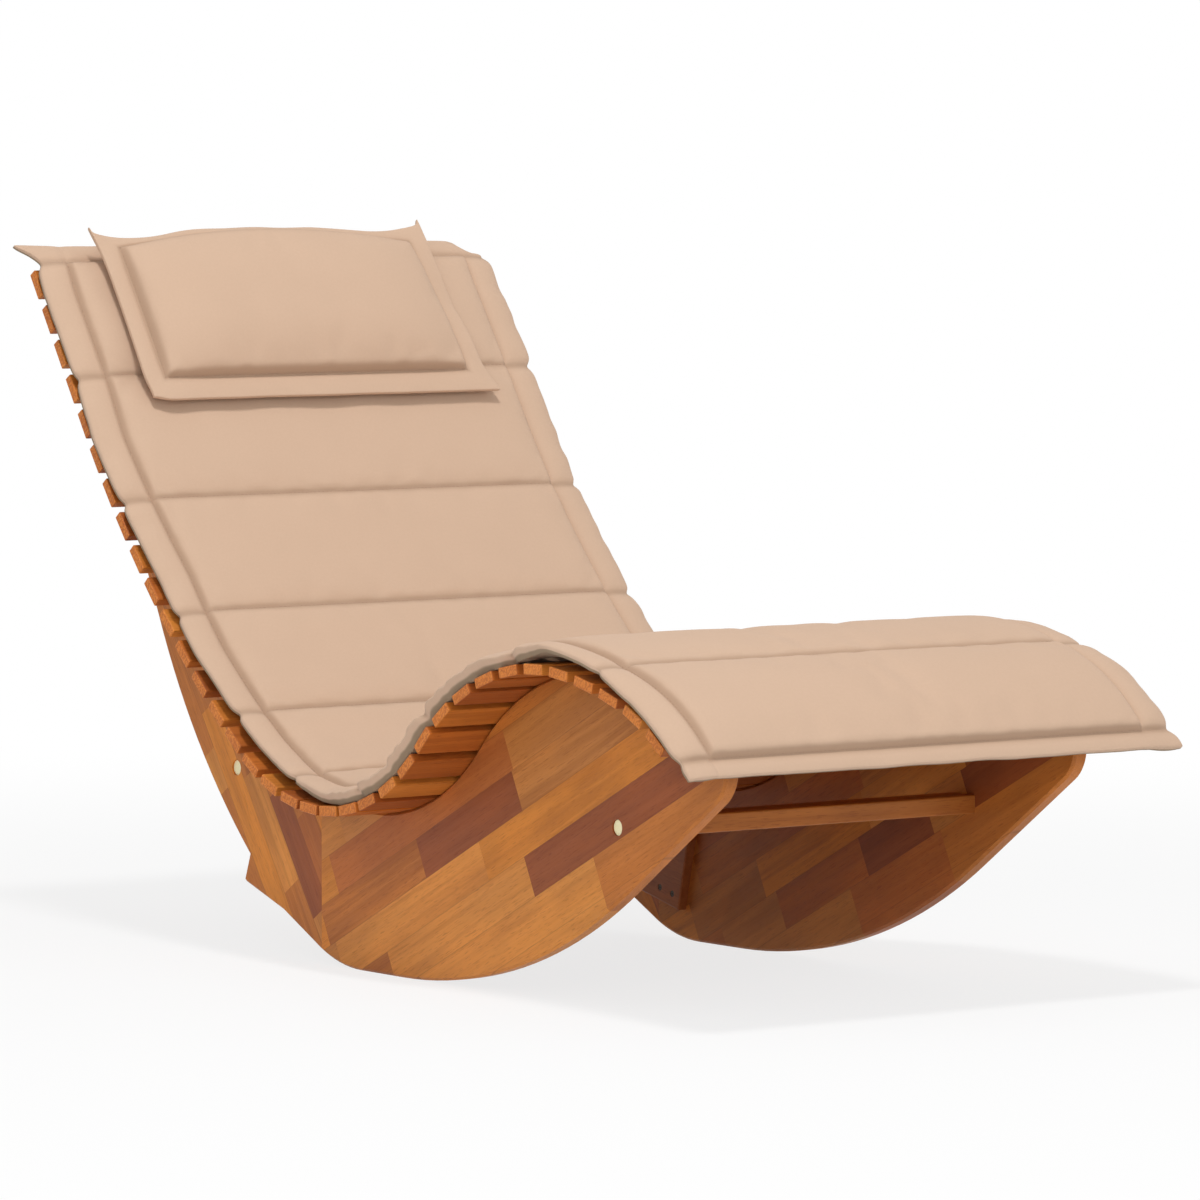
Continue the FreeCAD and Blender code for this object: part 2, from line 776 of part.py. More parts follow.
def stretcher_frame(end_name):
    tilt = size("stretcher_tilt_degrees") if end_name == "rear" else 0.0
    return FreeCAD.Placement(BOLT_POINTS[end_name], FreeCAD.Rotation(X_AXIS, tilt))


def nut_places(end_name):
    places = []
    for _, side in SIDES:
        spot = FreeCAD.Placement(X_AXIS * (side * NUT_X), FreeCAD.Rotation())
        places.append(stretcher_frame(end_name).multiply(spot))
    return places


def make_stretchers():
    for end_name in BOLT_POINTS:
        label = end_name + "_stretcher"
        body = doc.addObject("PartDesign::Body", label + "_blank")
        sketch = new_sketch(body, label + "_section", "YZ_Plane")
        draw_rectangle(sketch, "Sizes.stretcher_width", "Sizes.stretcher_thickness",
                       size("stretcher_width"), size("stretcher_thickness"))
        pad = pad_sketch(body, sketch, label + "_bar",
                         "Sizes.panel_spread - 2 * Sizes.board_thickness")
        doc.recompute()
        rounded = body.newObject("PartDesign::Fillet", label + "_edges")
        long_edges = []
        for index, edge in enumerate(pad.Shape.Edges, start=1):
            if edge.BoundBox.XLength > INNER_X:
                long_edges.append("Edge%d" % index)
        rounded.Base = (pad, long_edges)
        rounded.setExpression("Radius", "Sizes.stretcher_round")
        body.Placement = stretcher_frame(end_name)
        doc.recompute()
        bores = []
        point = BOLT_POINTS[end_name]
        bolt_radius = size("bolt_shank") / 2 + size("bolt_clearance") / 2
        bolt_end = BOLT_SEAT_X - size("bolt_length") - size("overrun")
        for _, side in SIDES:
            base = FreeCAD.Vector(side * bolt_end, point.y, point.z)
            reach = INNER_X + size("overrun") - bolt_end
            bores.append(Part.makeCylinder(bolt_radius, reach, base, X_AXIS * side))
        nut_radius = size("nut_diameter") / 2 + size("nut_clearance") / 2
        down = stretcher_frame(end_name).Rotation.multVec(-Z_AXIS)
        for place in nut_places(end_name):
            top = place.Base - down * (size("nut_height") / 2 + size("nut_clearance"))
            reach = size("nut_height") / 2 + size("stretcher_thickness") / 2 + size("overrun")
            bores.append(Part.makeCylinder(nut_radius, reach, top, down))
        drilled(body, label, bores)


def make_fasteners():
    for side_name, side in SIDES:
        group_of(side_name + "_slat_screws", SLAT_SCREW, slat_screw_places(side))
        group_of(side_name + "_batten_screws", BATTEN_SCREW, batten_screw_places(side))
        bolts = [along_x(point, side * BOLT_SEAT_X, side) for point in BOLT_POINTS.values()]
        group_of(side_name + "_panel_bolts", BOLT, bolts)
        caps = [along_x(point, side * CAP_BASE_X, side) for point in BOLT_POINTS.values()]
        group_of(side_name + "_bolt_caps", CAP, caps)
    for end_name in BOLT_POINTS:
        group_of(end_name + "_barrel_nuts", NUT, nut_places(end_name))


# Soft pieces: ruled lofts through sections that stand square to the path.

def soft_section(frame, middle_x, half_width, flange, edge, shoulder, low, high):
    """One closed section: side flanges as thick as edge, and a filled middle
    that crowns up by high above them and bellies down by low below them."""
    inner = half_width - flange
    flat = inner - shoulder

    def spot(x, height):
        return frame.multVec(FreeCAD.Vector(middle_x + x, 0, height))

    def shoulder_arc(side, base, swell, inwards):
        """An arc that leaves the flat middle in line and falls to the flange."""
        half_turn = math.atan2(abs(swell), shoulder)
        radius = shoulder / math.sin(2 * half_turn)
        drop = math.copysign(radius * (1 - math.cos(half_turn)), swell)
        outside = spot(side * inner, base)
        bulge = spot(side * (flat + radius * math.sin(half_turn)), base + swell - drop)
        inside = spot(side * flat, base + swell)
        points = (outside, bulge, inside) if inwards else (inside, bulge, outside)
        return Part.Arc(*points).toShape()

    edges = [
        Part.makeLine(spot(half_width, 0.0), spot(half_width, edge)),
        Part.makeLine(spot(half_width, edge), spot(inner, edge)),
        shoulder_arc(1, edge, high, True),
        Part.makeLine(spot(flat, edge + high), spot(-flat, edge + high)),
        shoulder_arc(-1, edge, high, False),
        Part.makeLine(spot(-inner, edge), spot(-half_width, edge)),
        Part.makeLine(spot(-half_width, edge), spot(-half_width, 0.0)),
        Part.makeLine(spot(-half_width, 0.0), spot(-inner, 0.0)),
        shoulder_arc(-1, 0.0, -low, True),
        Part.makeLine(spot(-flat, -low), spot(flat, -low)),
        shoulder_arc(1, 0.0, -low, False),
        Part.makeLine(spot(inner, 0.0), spot(half_width, 0.0)),
    ]
    return Part.Wire(edges)


# Shares of a channel's length, and of the swell there, from seam to seam.
CHANNEL_SHARES = ((0.0, 0.0), (0.12, 0.65), (0.3, 0.92), (0.5, 1.0), (0.7, 0.92), (0.88, 0.65))
FLAT_SWELL_SHARE = 0.1
PAD_FIRST_SEAM = size("head_margin")


def pad_rise():
    """The pad's underside clears the slats where they stand proudest of the path."""
    widest_step = 0.0
    for before, after in zip(CHANNEL_SHARES, CHANNEL_SHARES[1:]):
        widest_step = max(widest_step, (after[0] - before[0]) * size("pad_channel_pitch"))
    proud = 0.0
    half_slat = size("slat_width") / 2
    for _, _, _, _, radius in PATH:
        if radius > 0:
            proud = max(proud, half_slat ** 2 / (2 * radius))
        elif radius < 0:
            corner = half_slat ** 2 / (2 * abs(radius))
            proud = max(proud, corner + (widest_step / 2) ** 2 / (2 * abs(radius)))
    return size("slat_thickness") + size("slat_seat_gap") + proud + size("pad_seat_gap")


def pad_swells():
    """Each station of the pad with its filling's thickness beyond the flange's."""
    flat_swell = size("pad_flange_thickness") * FLAT_SWELL_SHARE
    seam_swell = size("pad_seam_thickness") - size("pad_flange_thickness")
    crown_swell = size("pad_crown") - size("pad_flange_thickness")
    swells = [(PAD_FIRST_SEAM - size("pad_head_flange"), flat_swell)]
    for channel in range(PAD_CHANNEL_COUNT):
        for along_share, swell_share in CHANNEL_SHARES:
            station = PAD_FIRST_SEAM + (channel + along_share) * size("pad_channel_pitch")
            base = flat_swell if channel == 0 and along_share == 0 else seam_swell
            swells.append((station, base + swell_share * (crown_swell - base)))
    last_seam = PAD_FIRST_SEAM + PAD_CHANNEL_COUNT * size("pad_channel_pitch")
    swells.append((last_seam, flat_swell))
    swells.append((last_seam + size("pad_foot_flange"), flat_swell))
    return swells


def make_pad():
    sections = []
    swells = pad_swells()
    first, last = swells[0][0], swells[-1][0]
    for station, swell in swells:
        drift = (station - first) / (last - first)
        shift = size("pad_head_shift") + drift * (size("pad_foot_shift") - size("pad_head_shift"))
        frame = path_frame(station, -pad_rise() - size("pad_belly"))
        below = swell * size("pad_belly") / (size("pad_crown") - size("pad_flange_thickness"))
        sections.append(soft_section(frame, shift, size("pad_width") / 2, size("pad_side_flange"),
                                     size("pad_flange_thickness"), size("pad_shoulder"),
                                     below, swell - below))
    pad = doc.addObject("Part::Feature", "pad")
    pad.Shape = Part.makeLoft(sections, True, True)
    return name_piece(pad, "pad")


# Shares of the pillow's height, and of its fullness there, from foot to head.
PILLOW_SHARES = ((0.0, 0.0), (0.1, 0.6), (0.3, 0.92), (0.5, 1.0), (0.7, 0.92), (0.9, 0.6), (1.0, 0.0))


def make_pillow():
    foot = size("pillow_foot_station")
    flange = size("pillow_flange")
    filled = size("pillow_height") - 2 * flange
    flat_share = FLAT_SWELL_SHARE * size("pillow_flange_thickness") / size("pillow_crown")
    stations = [(foot, flat_share)]
    for along_share, fullness in PILLOW_SHARES:
        stations.append((foot - flange - along_share * filled, max(fullness, flat_share)))
    stations.append((foot - size("pillow_height"), flat_share))
    rise = pad_rise() + size("pad_crown") + size("pillow_seat_gap") + size("pillow_belly")
    sections = []
    for station, fullness in stations:
        turn = path_frame(0.0).Rotation
        base = path_frame(0.0, -rise).Base + turn.multVec(-Y_AXIS * station)
        frame = FreeCAD.Placement(base, turn)
        sections.append(soft_section(frame, size("pillow_shift"), size("pillow_width") / 2,
                                     flange, size("pillow_flange_thickness"),
                                     size("pad_shoulder"), fullness * size("pillow_belly"),
                                     fullness * size("pillow_crown")))
    pillow = doc.addObject("Part::Feature", "pillow")
    pillow.Shape = Part.makeLoft(sections, True, True)
    return name_piece(pillow, "pillow")


make_slats()
make_panels()
make_battens()
make_stretchers()
make_fasteners()
make_pad()
make_pillow()
doc.recompute()

# The origin is the middle of the lounger's footprint, on the floor.

whole = FreeCAD.BoundBox()
for piece in pieces:
    whole.add(piece.Shape.optimalBoundingBox(False, False))
to_origin = FreeCAD.Vector(-whole.Center.x, -whole.Center.y, -whole.ZMin)
for piece in pieces:
    piece.Placement.Base = piece.Placement.Base + to_origin
doc.recompute()

for thing in doc.Objects:
    if "Invalid" in thing.State or "Error" in thing.State:
        raise RuntimeError("%s did not build" % thing.Label)
for piece in pieces:
    if piece.Shape.isNull() or not piece.Shape.isValid() or piece.Shape.Volume <= 0:
        raise RuntimeError("%s has no sound shape" % piece.Label)

os.makedirs("parts", exist_ok=True)
for piece in pieces:
    piece.Shape.exportStep("parts/%s.step" % piece.Label)
print("%d pieces, %.0f x %.0f x %.0f mm" % (len(pieces), whole.XLength, whole.YLength, whole.ZLength))
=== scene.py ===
import math

import bmesh
import bpy
import numpy as np
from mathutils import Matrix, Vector, noise


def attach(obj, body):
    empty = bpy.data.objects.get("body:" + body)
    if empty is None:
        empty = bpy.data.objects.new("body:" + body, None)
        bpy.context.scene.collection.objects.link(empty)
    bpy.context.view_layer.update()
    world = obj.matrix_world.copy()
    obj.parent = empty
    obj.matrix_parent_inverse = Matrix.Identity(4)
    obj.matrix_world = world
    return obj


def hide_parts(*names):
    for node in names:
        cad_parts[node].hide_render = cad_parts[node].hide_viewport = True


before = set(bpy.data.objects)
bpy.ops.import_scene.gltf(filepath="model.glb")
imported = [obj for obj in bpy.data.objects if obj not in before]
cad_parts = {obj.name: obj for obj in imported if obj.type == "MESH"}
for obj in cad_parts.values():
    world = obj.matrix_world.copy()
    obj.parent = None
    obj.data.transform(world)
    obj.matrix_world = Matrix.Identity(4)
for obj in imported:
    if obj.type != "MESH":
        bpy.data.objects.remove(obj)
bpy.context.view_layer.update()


# Side boards
# Each side is a rear and a front board glued up from hardwood staves, sawn to
# the wave above and the rocker below, bevelled along the rim and oiled.

def paint(red, green, blue):
    """A colour written as screen values from 0 to 255."""
    shares = [value / 255 for value in (red, green, blue)]
    return tuple(s / 12.92 if s <= 0.04045 else ((s + 0.055) / 1.055) ** 2.4 for s in shares) + (1.0,)


def put(tree, kind, feeds=None, **settings):
    """A node with its settings made and its inputs set, or wired to other nodes."""
    made = tree.nodes.new(kind)
    for name, value in settings.items():
        setattr(made, name, value)
    for key, value in (feeds or {}).items():
        if isinstance(value, bpy.types.NodeSocket):
            tree.links.new(value, made.inputs[key])
        else:
            made.inputs[key].default_value = value
    return made


def calc(tree, operation, *values):
    feeds = dict(enumerate(values))
    return put(tree, "ShaderNodeMath", feeds, operation=operation).outputs[0]


def blended(tree, share, first, second, blend_type="MIX"):
    """Two colours mixed by a share; a Mix node takes its colours at inputs 6 and 7."""
    feeds = {0: share, 6: first, 7: second}
    return put(tree, "ShaderNodeMix", feeds, data_type="RGBA", blend_type=blend_type).outputs[2]


def ramp(tree, share, stops, interpolation="LINEAR"):
    """A scale of (place, colour) stops read at a share."""
    made = put(tree, "ShaderNodeValToRGB", {0: share})
    made.color_ramp.interpolation = interpolation
    for index, (place, colour) in enumerate(stops):
        stop = made.color_ramp.elements[index] if index < 2 else made.color_ramp.elements.new(place)
        stop.position = place
        stop.color = colour
    return made


def between(tree, value, low, high, out_low=0.0, out_high=1.0):
    """A value carried over from one span to another, held at its ends."""
    feeds = {0: value, 1: low, 2: high, 3: out_low, 4: out_high}
    return put(tree, "ShaderNodeMapRange", feeds, interpolation_type="SMOOTHSTEP").outputs[0]


def new_material(name):
    material = bpy.data.materials.new(name)
    material.use_nodes = True
    tree = material.node_tree
    return material, tree, tree.nodes["Principled BSDF"]


def dress(node_names, material):
    """Gives CAD nodes their finish."""
    for name in node_names:
        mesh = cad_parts[name].data
        mesh.materials.clear()
        mesh.materials.append(material)


# Oiled grain runs along X of the place that is fed in.
grain = bpy.data.node_groups.new("oiled_grain", "ShaderNodeTree")
for label, kind, value in (("Place", "Vector", None), ("Colour", "Color", None),
                           ("Figure", "Float", 0.35), ("Offset", "Float", 0.0)):
    socket = grain.interface.new_socket(label, in_out="INPUT", socket_type="NodeSocket" + kind)
    if value is not None:
        socket.default_value = value
for label, kind in (("Colour", "Color"), ("Roughness", "Float"), ("Height", "Float")):
    grain.interface.new_socket(label, in_out="OUTPUT", socket_type="NodeSocket" + kind)
grain_in = grain.nodes.new("NodeGroupInput").outputs
grain_out = grain.nodes.new("NodeGroupOutput").inputs


def grain_noise(along, across, detail, bend):
    """Noise drawn out along the grain, in features a metre along it and across it."""
    spread = put(grain, "ShaderNodeVectorMath", {0: grain_in["Place"], 1: (along, across, across)},
                 operation="MULTIPLY")
    shift = put(grain, "ShaderNodeCombineXYZ", {axis: grain_in["Offset"] for axis in range(3)})
    moved = put(grain, "ShaderNodeVectorMath", {0: spread.outputs[0], 1: shift.outputs[0]},
                operation="ADD")
    feeds = {"Vector": moved.outputs[0], "Scale": 1.0, "Detail": detail, "Distortion": bend}
    return put(grain, "ShaderNodeTexNoise", feeds).outputs["Fac"]


# Each layer's features a metre along and across the grain, its detail and its bend.
GRAIN_LAYERS = {
    "fibre": (9.0, 380.0, 3.0, 0.0),
    "streak": (3.2, 130.0, 3.0, 0.5),
    "figure": (2.2, 42.0, 4.0, 0.9),
    "cloud": (6.0, 14.0, 2.0, 0.0),
    "pore": (60.0, 1000.0, 1.0, 0.0),
}
# The part of each layer's noise over which it shows, and how strongly.
FIGURE_SPAN, STREAK_SPAN, CLOUD_SPAN, PORE_SPAN = (0.36, 0.66), (0.48, 0.68), (0.4, 0.7), (0.3, 0.42)
PALE_SHARE, STREAK_SHARE, FIBRE_SHARE, PORE_SHARE = 0.55, 0.45, 0.3, 0.5
DARK_GRAIN, PALE_GRAIN = (0.5, 0.38, 0.3, 1.0), (1.3, 1.25, 1.1, 1.0)
fibre, streak, figure, cloud, pore = (grain_noise(*sizes) for sizes in GRAIN_LAYERS.values())
streaks = between(grain, streak, *STREAK_SPAN)
clouds = between(grain, cloud, *CLOUD_SPAN)
pores = between(grain, pore, *PORE_SPAN, 1.0, 0.0)
dark = blended(grain, 1.0, grain_in["Colour"], DARK_GRAIN, "MULTIPLY")
pale = blended(grain, 1.0, grain_in["Colour"], PALE_GRAIN, "MULTIPLY")
worked = grain_in["Colour"]
for mask, strength, shade in (
        (between(grain, figure, *FIGURE_SPAN), grain_in["Figure"], dark),
        (clouds, PALE_SHARE, pale),
        (streaks, calc(grain, "MULTIPLY", grain_in["Figure"], STREAK_SHARE), dark),
        (fibre, FIBRE_SHARE, dark),
        (pores, PORE_SHARE, dark)):
    worked = blended(grain, calc(grain, "MULTIPLY", mask, strength), worked, shade)
grain.links.new(worked, grain_out["Colour"])
grain.links.new(calc(grain, "MULTIPLY_ADD", fibre, 0.22, 0.42), grain_out["Roughness"])
grain.links.new(calc(grain, "SUBTRACT", calc(grain, "MULTIPLY", fibre, 0.6), pores), grain_out["Height"])


def use_grain(tree, where, tone, figure_share, offset):
    feeds = {"Place": where, "Colour": tone, "Figure": figure_share, "Offset": offset}
    return put(tree, "ShaderNodeGroup", feeds, node_tree=grain).outputs


def turned_place(tree, slope_degrees):
    """Object place with X turned to run along the side at a slope, and Y across it."""
    coordinates = put(tree, "ShaderNodeTexCoord").outputs["Object"]
    parts = put(tree, "ShaderNodeSeparateXYZ", {0: coordinates}).outputs
    lean = math.radians(slope_degrees)
    run = calc(tree, "ADD", calc(tree, "MULTIPLY", parts[1], math.cos(lean)),
               calc(tree, "MULTIPLY", parts[2], math.sin(lean)))
    up = calc(tree, "SUBTRACT", calc(tree, "MULTIPLY", parts[2], math.cos(lean)),
              calc(tree, "MULTIPLY", parts[1], math.sin(lean)))
    return put(tree, "ShaderNodeCombineXYZ", {0: run, 1: up, 2: parts[0]}).outputs[0]


def finish_wood(tree, shader, colour, oiled):
    """Oiled wood: a soft gloss and a bump from the pores."""
    bump = put(tree, "ShaderNodeBump", {"Height": oiled["Height"], "Strength": 0.25, "Distance": 0.0004})
    tree.links.new(colour, shader.inputs["Base Color"])
    tree.links.new(oiled["Roughness"], shader.inputs["Roughness"])
    tree.links.new(bump.outputs[0], shader.inputs["Normal"])
    shader.inputs["Coat Weight"].default_value = 0.05
    shader.inputs["Coat Roughness"].default_value = 0.3
    shader.inputs["Specular IOR Level"].default_value = 0.28


STAVE_TONES = {
    "gold": (222, 147, 68),
    "amber": (218, 138, 52),
    "tan": (202, 132, 64),
    "brown": (196, 120, 52),
    "russet": (186, 108, 50),
    "plum": (156, 84, 42),
}
GLUE_LINE, GLUE_LINE_WIDTH = paint(74, 40, 26), 0.0008
LUCK_STEPS, LUCK_OFFSET = 17, 31.0


def board_material(name, slope_degrees, width, lowest, reach, rows):
    """Staves laid in rows across a board; each row lists where its staves begin, and their tones.

    A stave's luck, kept beside its colour, shifts its grain and sets how strong its figure is.
    """
    material, tree, shader = new_material(name)
    where = turned_place(tree, slope_degrees)
    parts = put(tree, "ShaderNodeSeparateXYZ", {0: where}).outputs
    row = calc(tree, "DIVIDE", calc(tree, "SUBTRACT", parts[1], lowest), width)
    run = calc(tree, "DIVIDE", calc(tree, "SUBTRACT", parts[0], reach[0]), reach[1] - reach[0])
    tone, luck = None, None
    for number, laid in enumerate(rows):
        stops = []
        for index, (start, tone_name) in enumerate(laid):
            share = min(max((start - reach[0]) / (reach[1] - reach[0]), 0.0), 1.0)
            stave_luck = (number * 3 + index * 5) % LUCK_STEPS / LUCK_STEPS
            stops.append((share, paint(*STAVE_TONES[tone_name])[:3] + (stave_luck,)))
        scale = ramp(tree, run, stops, "CONSTANT").outputs
        if number == 0:
            tone, luck = scale
        else:
            here = calc(tree, "GREATER_THAN", row, float(number))
            tone = blended(tree, here, tone, scale[0])
            luck = put(tree, "ShaderNodeMix", {0: here, 2: luck, 3: scale[1]},
                       data_type="FLOAT").outputs[0]
    offset = calc(tree, "MULTIPLY", luck, LUCK_OFFSET)
    scattered = calc(tree, "FRACT", calc(tree, "MULTIPLY", luck, 7.3))
    figure_share = calc(tree, "MULTIPLY_ADD", scattered, 0.4, 0.3)
    oiled = use_grain(tree, where, tone, figure_share, offset)
    gap = calc(tree, "MULTIPLY", calc(tree, "PINGPONG", row, 0.5), width)
    joint = between(tree, gap, 0.0, GLUE_LINE_WIDTH, 0.3, 0.0)
    finish_wood(tree, shader, blended(tree, joint, oiled["Colour"], GLUE_LINE), oiled)
    return material


# Each board's stave slope in degrees, stave width, lowest row and reach along the staves.
FRONT_STAVES = (-26.0, 0.0495, -0.072, (-0.8, 0.25))
REAR_STAVES = (56.0, 0.037, -0.216, (-0.1, 1.1))
LEFT_FRONT_ROWS = [
    [(-0.8, "brown"), (-0.45, "gold"), (-0.06, "brown")],
    [(-0.8, "plum"), (-0.324, "gold"), (-0.012, "brown")],
    [(-0.8, "amber"), (-0.246, "gold"), (0.09, "tan")],
    [(-0.8, "tan"), (-0.343, "plum"), (-0.124, "brown"), (0.1, "amber")],
    [(-0.8, "tan"), (-0.346, "russet"), (0.054, "amber")],
    [(-0.8, "brown"), (-0.2, "tan"), (0.016, "gold")],
]
# The far front board's staves are given tones a notch lighter: painted light against the shade that falls
# on that board.
RIGHT_FRONT_ROWS = [
    [(-0.8, "brown"), (-0.455, "russet"), (-0.26, "tan"), (-0.02, "russet")],
    [(-0.8, "plum"), (-0.52, "tan"), (-0.44, "plum"), (-0.3, "russet"), (-0.12, "tan"), (0.0, "brown")],
    [(-0.8, "russet"), (-0.53, "gold"), (-0.33, "amber"), (-0.1, "tan"), (0.05, "gold")],
    [(-0.8, "tan"), (-0.34, "russet"), (-0.16, "brown"), (0.02, "tan")],
    [(-0.8, "tan"), (-0.2, "russet"), (0.0, "tan")],
    [(-0.8, "russet"), (-0.3, "brown"), (-0.05, "tan")],
]
LEFT_REAR_ROWS = [
    [(-0.1, "brown"), (0.355, "gold"), (0.415, "brown"), (0.7, "tan")],
    [(-0.1, "amber"), (0.46, "brown"), (0.74, "russet")],
    [(-0.1, "brown"), (0.19, "gold"), (0.35, "brown"), (0.66, "tan")],
    [(-0.1, "tan"), (0.13, "plum"), (0.3, "brown"), (0.6, "russet")],
    [(-0.1, "brown"), (0.05, "russet"), (0.25, "brown"), (0.52, "tan")],
    [(-0.1, "amber"), (0.3, "tan")],
]
RIGHT_REAR_ROWS = [
    [(-0.1, "tan"), (0.3, "russet"), (0.6, "brown")],
    [(-0.1, "plum"), (0.24, "brown"), (0.55, "amber"), (0.8, "tan")],
    [(-0.1, "amber"), (0.33, "tan"), (0.64, "plum")],
    [(-0.1, "russet"), (0.16, "brown"), (0.42, "gold"), (0.7, "brown")],
    [(-0.1, "gold"), (0.1, "tan"), (0.38, "brown")],
    [(-0.1, "brown"), (0.28, "amber")],
]
for board, staves, rows in (("left_front", FRONT_STAVES, LEFT_FRONT_ROWS),
                            ("left_rear", REAR_STAVES, LEFT_REAR_ROWS),
                            ("right_front", FRONT_STAVES, RIGHT_FRONT_ROWS),
                            ("right_rear", REAR_STAVES, RIGHT_REAR_ROWS)):
    dress([board + "_board"], board_material(board + "_staves", *staves, rows))


# Joint battens
# A plain board is screwed over each butt joint on the inside; its grain runs
# with its width.

PLAIN_FIGURE = 0.45


def plain_wood(name, tone, offset, slope_degrees=None):
    """Solid wood in one tone, grain along X, or along the side at a slope."""
    material, tree, shader = new_material(name)
    if slope_degrees is None:
        where = put(tree, "ShaderNodeTexCoord").outputs["Object"]
    else:
        where = turned_place(tree, slope_degrees)
    oiled = use_grain(tree, where, tone, PLAIN_FIGURE, offset)
    finish_wood(tree, shader, oiled["Colour"], oiled)
    return material


dress(["left_joint_batten", "right_joint_batten"],
      plain_wood("batten_wood", paint(172, 104, 56), offset=4.0, slope_degrees=13.0))


# Stretchers
# Two bars hold the sides apart, each drawn up by a bolt and a barrel nut at
# either end.

dress(["front_stretcher", "rear_stretcher"],
      plain_wood("stretcher_wood", paint(190, 116, 50), offset=9.0))


# Bolts, barrel nuts and screws
# Zinc plated steel, brushed by the tumbling drum it was plated in; the batten
# screws are blackened.

PLATING_CLOUDS = 900.0


def steel_finish(name, dull, bright, roughness):
    """Steel in clouds of a dull and a bright tone, the brighter the rougher."""
    material, tree, shader = new_material(name)
    place = put(tree, "ShaderNodeTexCoord").outputs["Object"]
    feeds = {"Vector": place, "Scale": PLATING_CLOUDS, "Detail": 3.0}
    cloudy = put(tree, "ShaderNodeTexNoise", feeds).outputs["Fac"]
    tree.links.new(ramp(tree, cloudy, [(0.3, dull), (0.7, bright)]).outputs[0], shader.inputs["Base Color"])
    tree.links.new(calc(tree, "MULTIPLY_ADD", cloudy, 0.3, roughness), shader.inputs["Roughness"])
    shader.inputs["Metallic"].default_value = 1.0
    return material


dress(["left_slat_screws", "right_slat_screws", "left_panel_bolts", "right_panel_bolts",
       "front_barrel_nuts", "rear_barrel_nuts"],
      steel_finish("zinc_plate", paint(150, 148, 142), paint(196, 194, 188), 0.25))
dress(["left_batten_screws", "right_batten_screws"],
      steel_finish("blackened_steel", paint(52, 44, 38), paint(84, 72, 62), 0.35))


# Bolt caps
# Cream plastic discs pressed into the recess over each bolt head.

CAP_SPECKS = 700.0
CAP_TONES = [(0.35, paint(253, 240, 188)), (0.7, paint(255, 248, 206))]
cap_material, cap_tree, cap_shader = new_material("cream_cap")
cap_place = put(cap_tree, "ShaderNodeTexCoord").outputs["Object"]
cap_feeds = {"Vector": cap_place, "Scale": CAP_SPECKS, "Detail": 2.0}
cap_speck = put(cap_tree, "ShaderNodeTexNoise", cap_feeds).outputs["Fac"]
cap_tone = ramp(cap_tree, cap_speck, CAP_TONES).outputs[0]
cap_bump = put(cap_tree, "ShaderNodeBump", {"Height": cap_speck, "Strength": 0.1, "Distance": 0.0002})
cap_tree.links.new(cap_tone, cap_shader.inputs["Base Color"])
cap_tree.links.new(calc(cap_tree, "MULTIPLY_ADD", cap_speck, 0.15, 0.35), cap_shader.inputs["Roughness"])
cap_tree.links.new(cap_bump.outputs[0], cap_shader.inputs["Normal"])
dress(["left_bolt_caps", "right_bolt_caps"], cap_material)


# Slats
# Thirty-five flat bars with eased edges lie across both sides, one screw into
# each. They come from different planks. Their sawn ends show end-grain rings and
# specks, and they are painted brighter, a painted highlight on the faces the light meets.

SLAT_TONES = [paint(188, 106, 40), paint(200, 120, 46), paint(168, 90, 36), paint(208, 130, 52),
              paint(178, 99, 38)]
SLAT_ORDER = [1, 0, 3, 1, 2, 4, 0, 2, 1, 4, 3, 0, 2, 1, 4, 0, 3, 2,
              4, 1, 0, 2, 3, 4, 0, 1, 2, 4, 0, 3, 1, 0, 2, 3, 4]
# The end faces' tones are lighter than the slats': a painted highlight over the end-grain rings and specks.
LIT_END_TONES = [(0.2, paint(182, 96, 34)), (0.5, paint(212, 122, 46)), (0.8, paint(234, 148, 64))]
LIT_END_SHARE, SLAT_FIGURE = 0.8, 0.5
SAW_SPECKS, SAW_RINGS = 340.0, 70.0


def slat_material(name, tone, offset):
    material, tree, shader = new_material(name)
    where = put(tree, "ShaderNodeTexCoord").outputs["Object"]
    oiled = use_grain(tree, where, tone, SLAT_FIGURE, offset)
    facing = put(tree, "ShaderNodeNewGeometry").outputs["True Normal"]
    across_part = put(tree, "ShaderNodeSeparateXYZ", {0: facing}).outputs[0]
    # Faces turned along X, the sawn ends, are painted brighter as lit faces.
    sawn = between(tree, calc(tree, "ABSOLUTE", across_part), 0.5, 0.9)
    speck_feeds = {"Vector": where, "Scale": SAW_SPECKS, "Detail": 3.0}
    speck = put(tree, "ShaderNodeTexNoise", speck_feeds).outputs["Fac"]
    ring_feeds = {"Vector": where, "Scale": SAW_RINGS, "Distortion": 14.0, "Detail": 3.0,
                  "Detail Scale": 1.5, "Phase Offset": offset}
    rings = put(tree, "ShaderNodeTexWave", ring_feeds, bands_direction="DIAGONAL").outputs["Fac"]
    streaked = calc(tree, "MULTIPLY_ADD", rings, 0.35, calc(tree, "MULTIPLY", speck, 0.6))
    lit_end_tone = ramp(tree, streaked, LIT_END_TONES).outputs[0]
    colour = blended(tree, calc(tree, "MULTIPLY", sawn, LIT_END_SHARE), oiled["Colour"], lit_end_tone)
    finish_wood(tree, shader, colour, oiled)
    return material


slat_finishes = [slat_material("slat_wood_%d" % index, tone, 11.0 * index + 2.0)
                 for index, tone in enumerate(SLAT_TONES)]
for number, pick in enumerate(SLAT_ORDER, start=1):
    dress(["slat_%02d" % number], slat_finishes[pick])


# Quilted pad
# A long fibre-filled cover in plain cloth, stitched across into ten channels
# and round a flat flange; it lies loose on the slats and follows their wave.

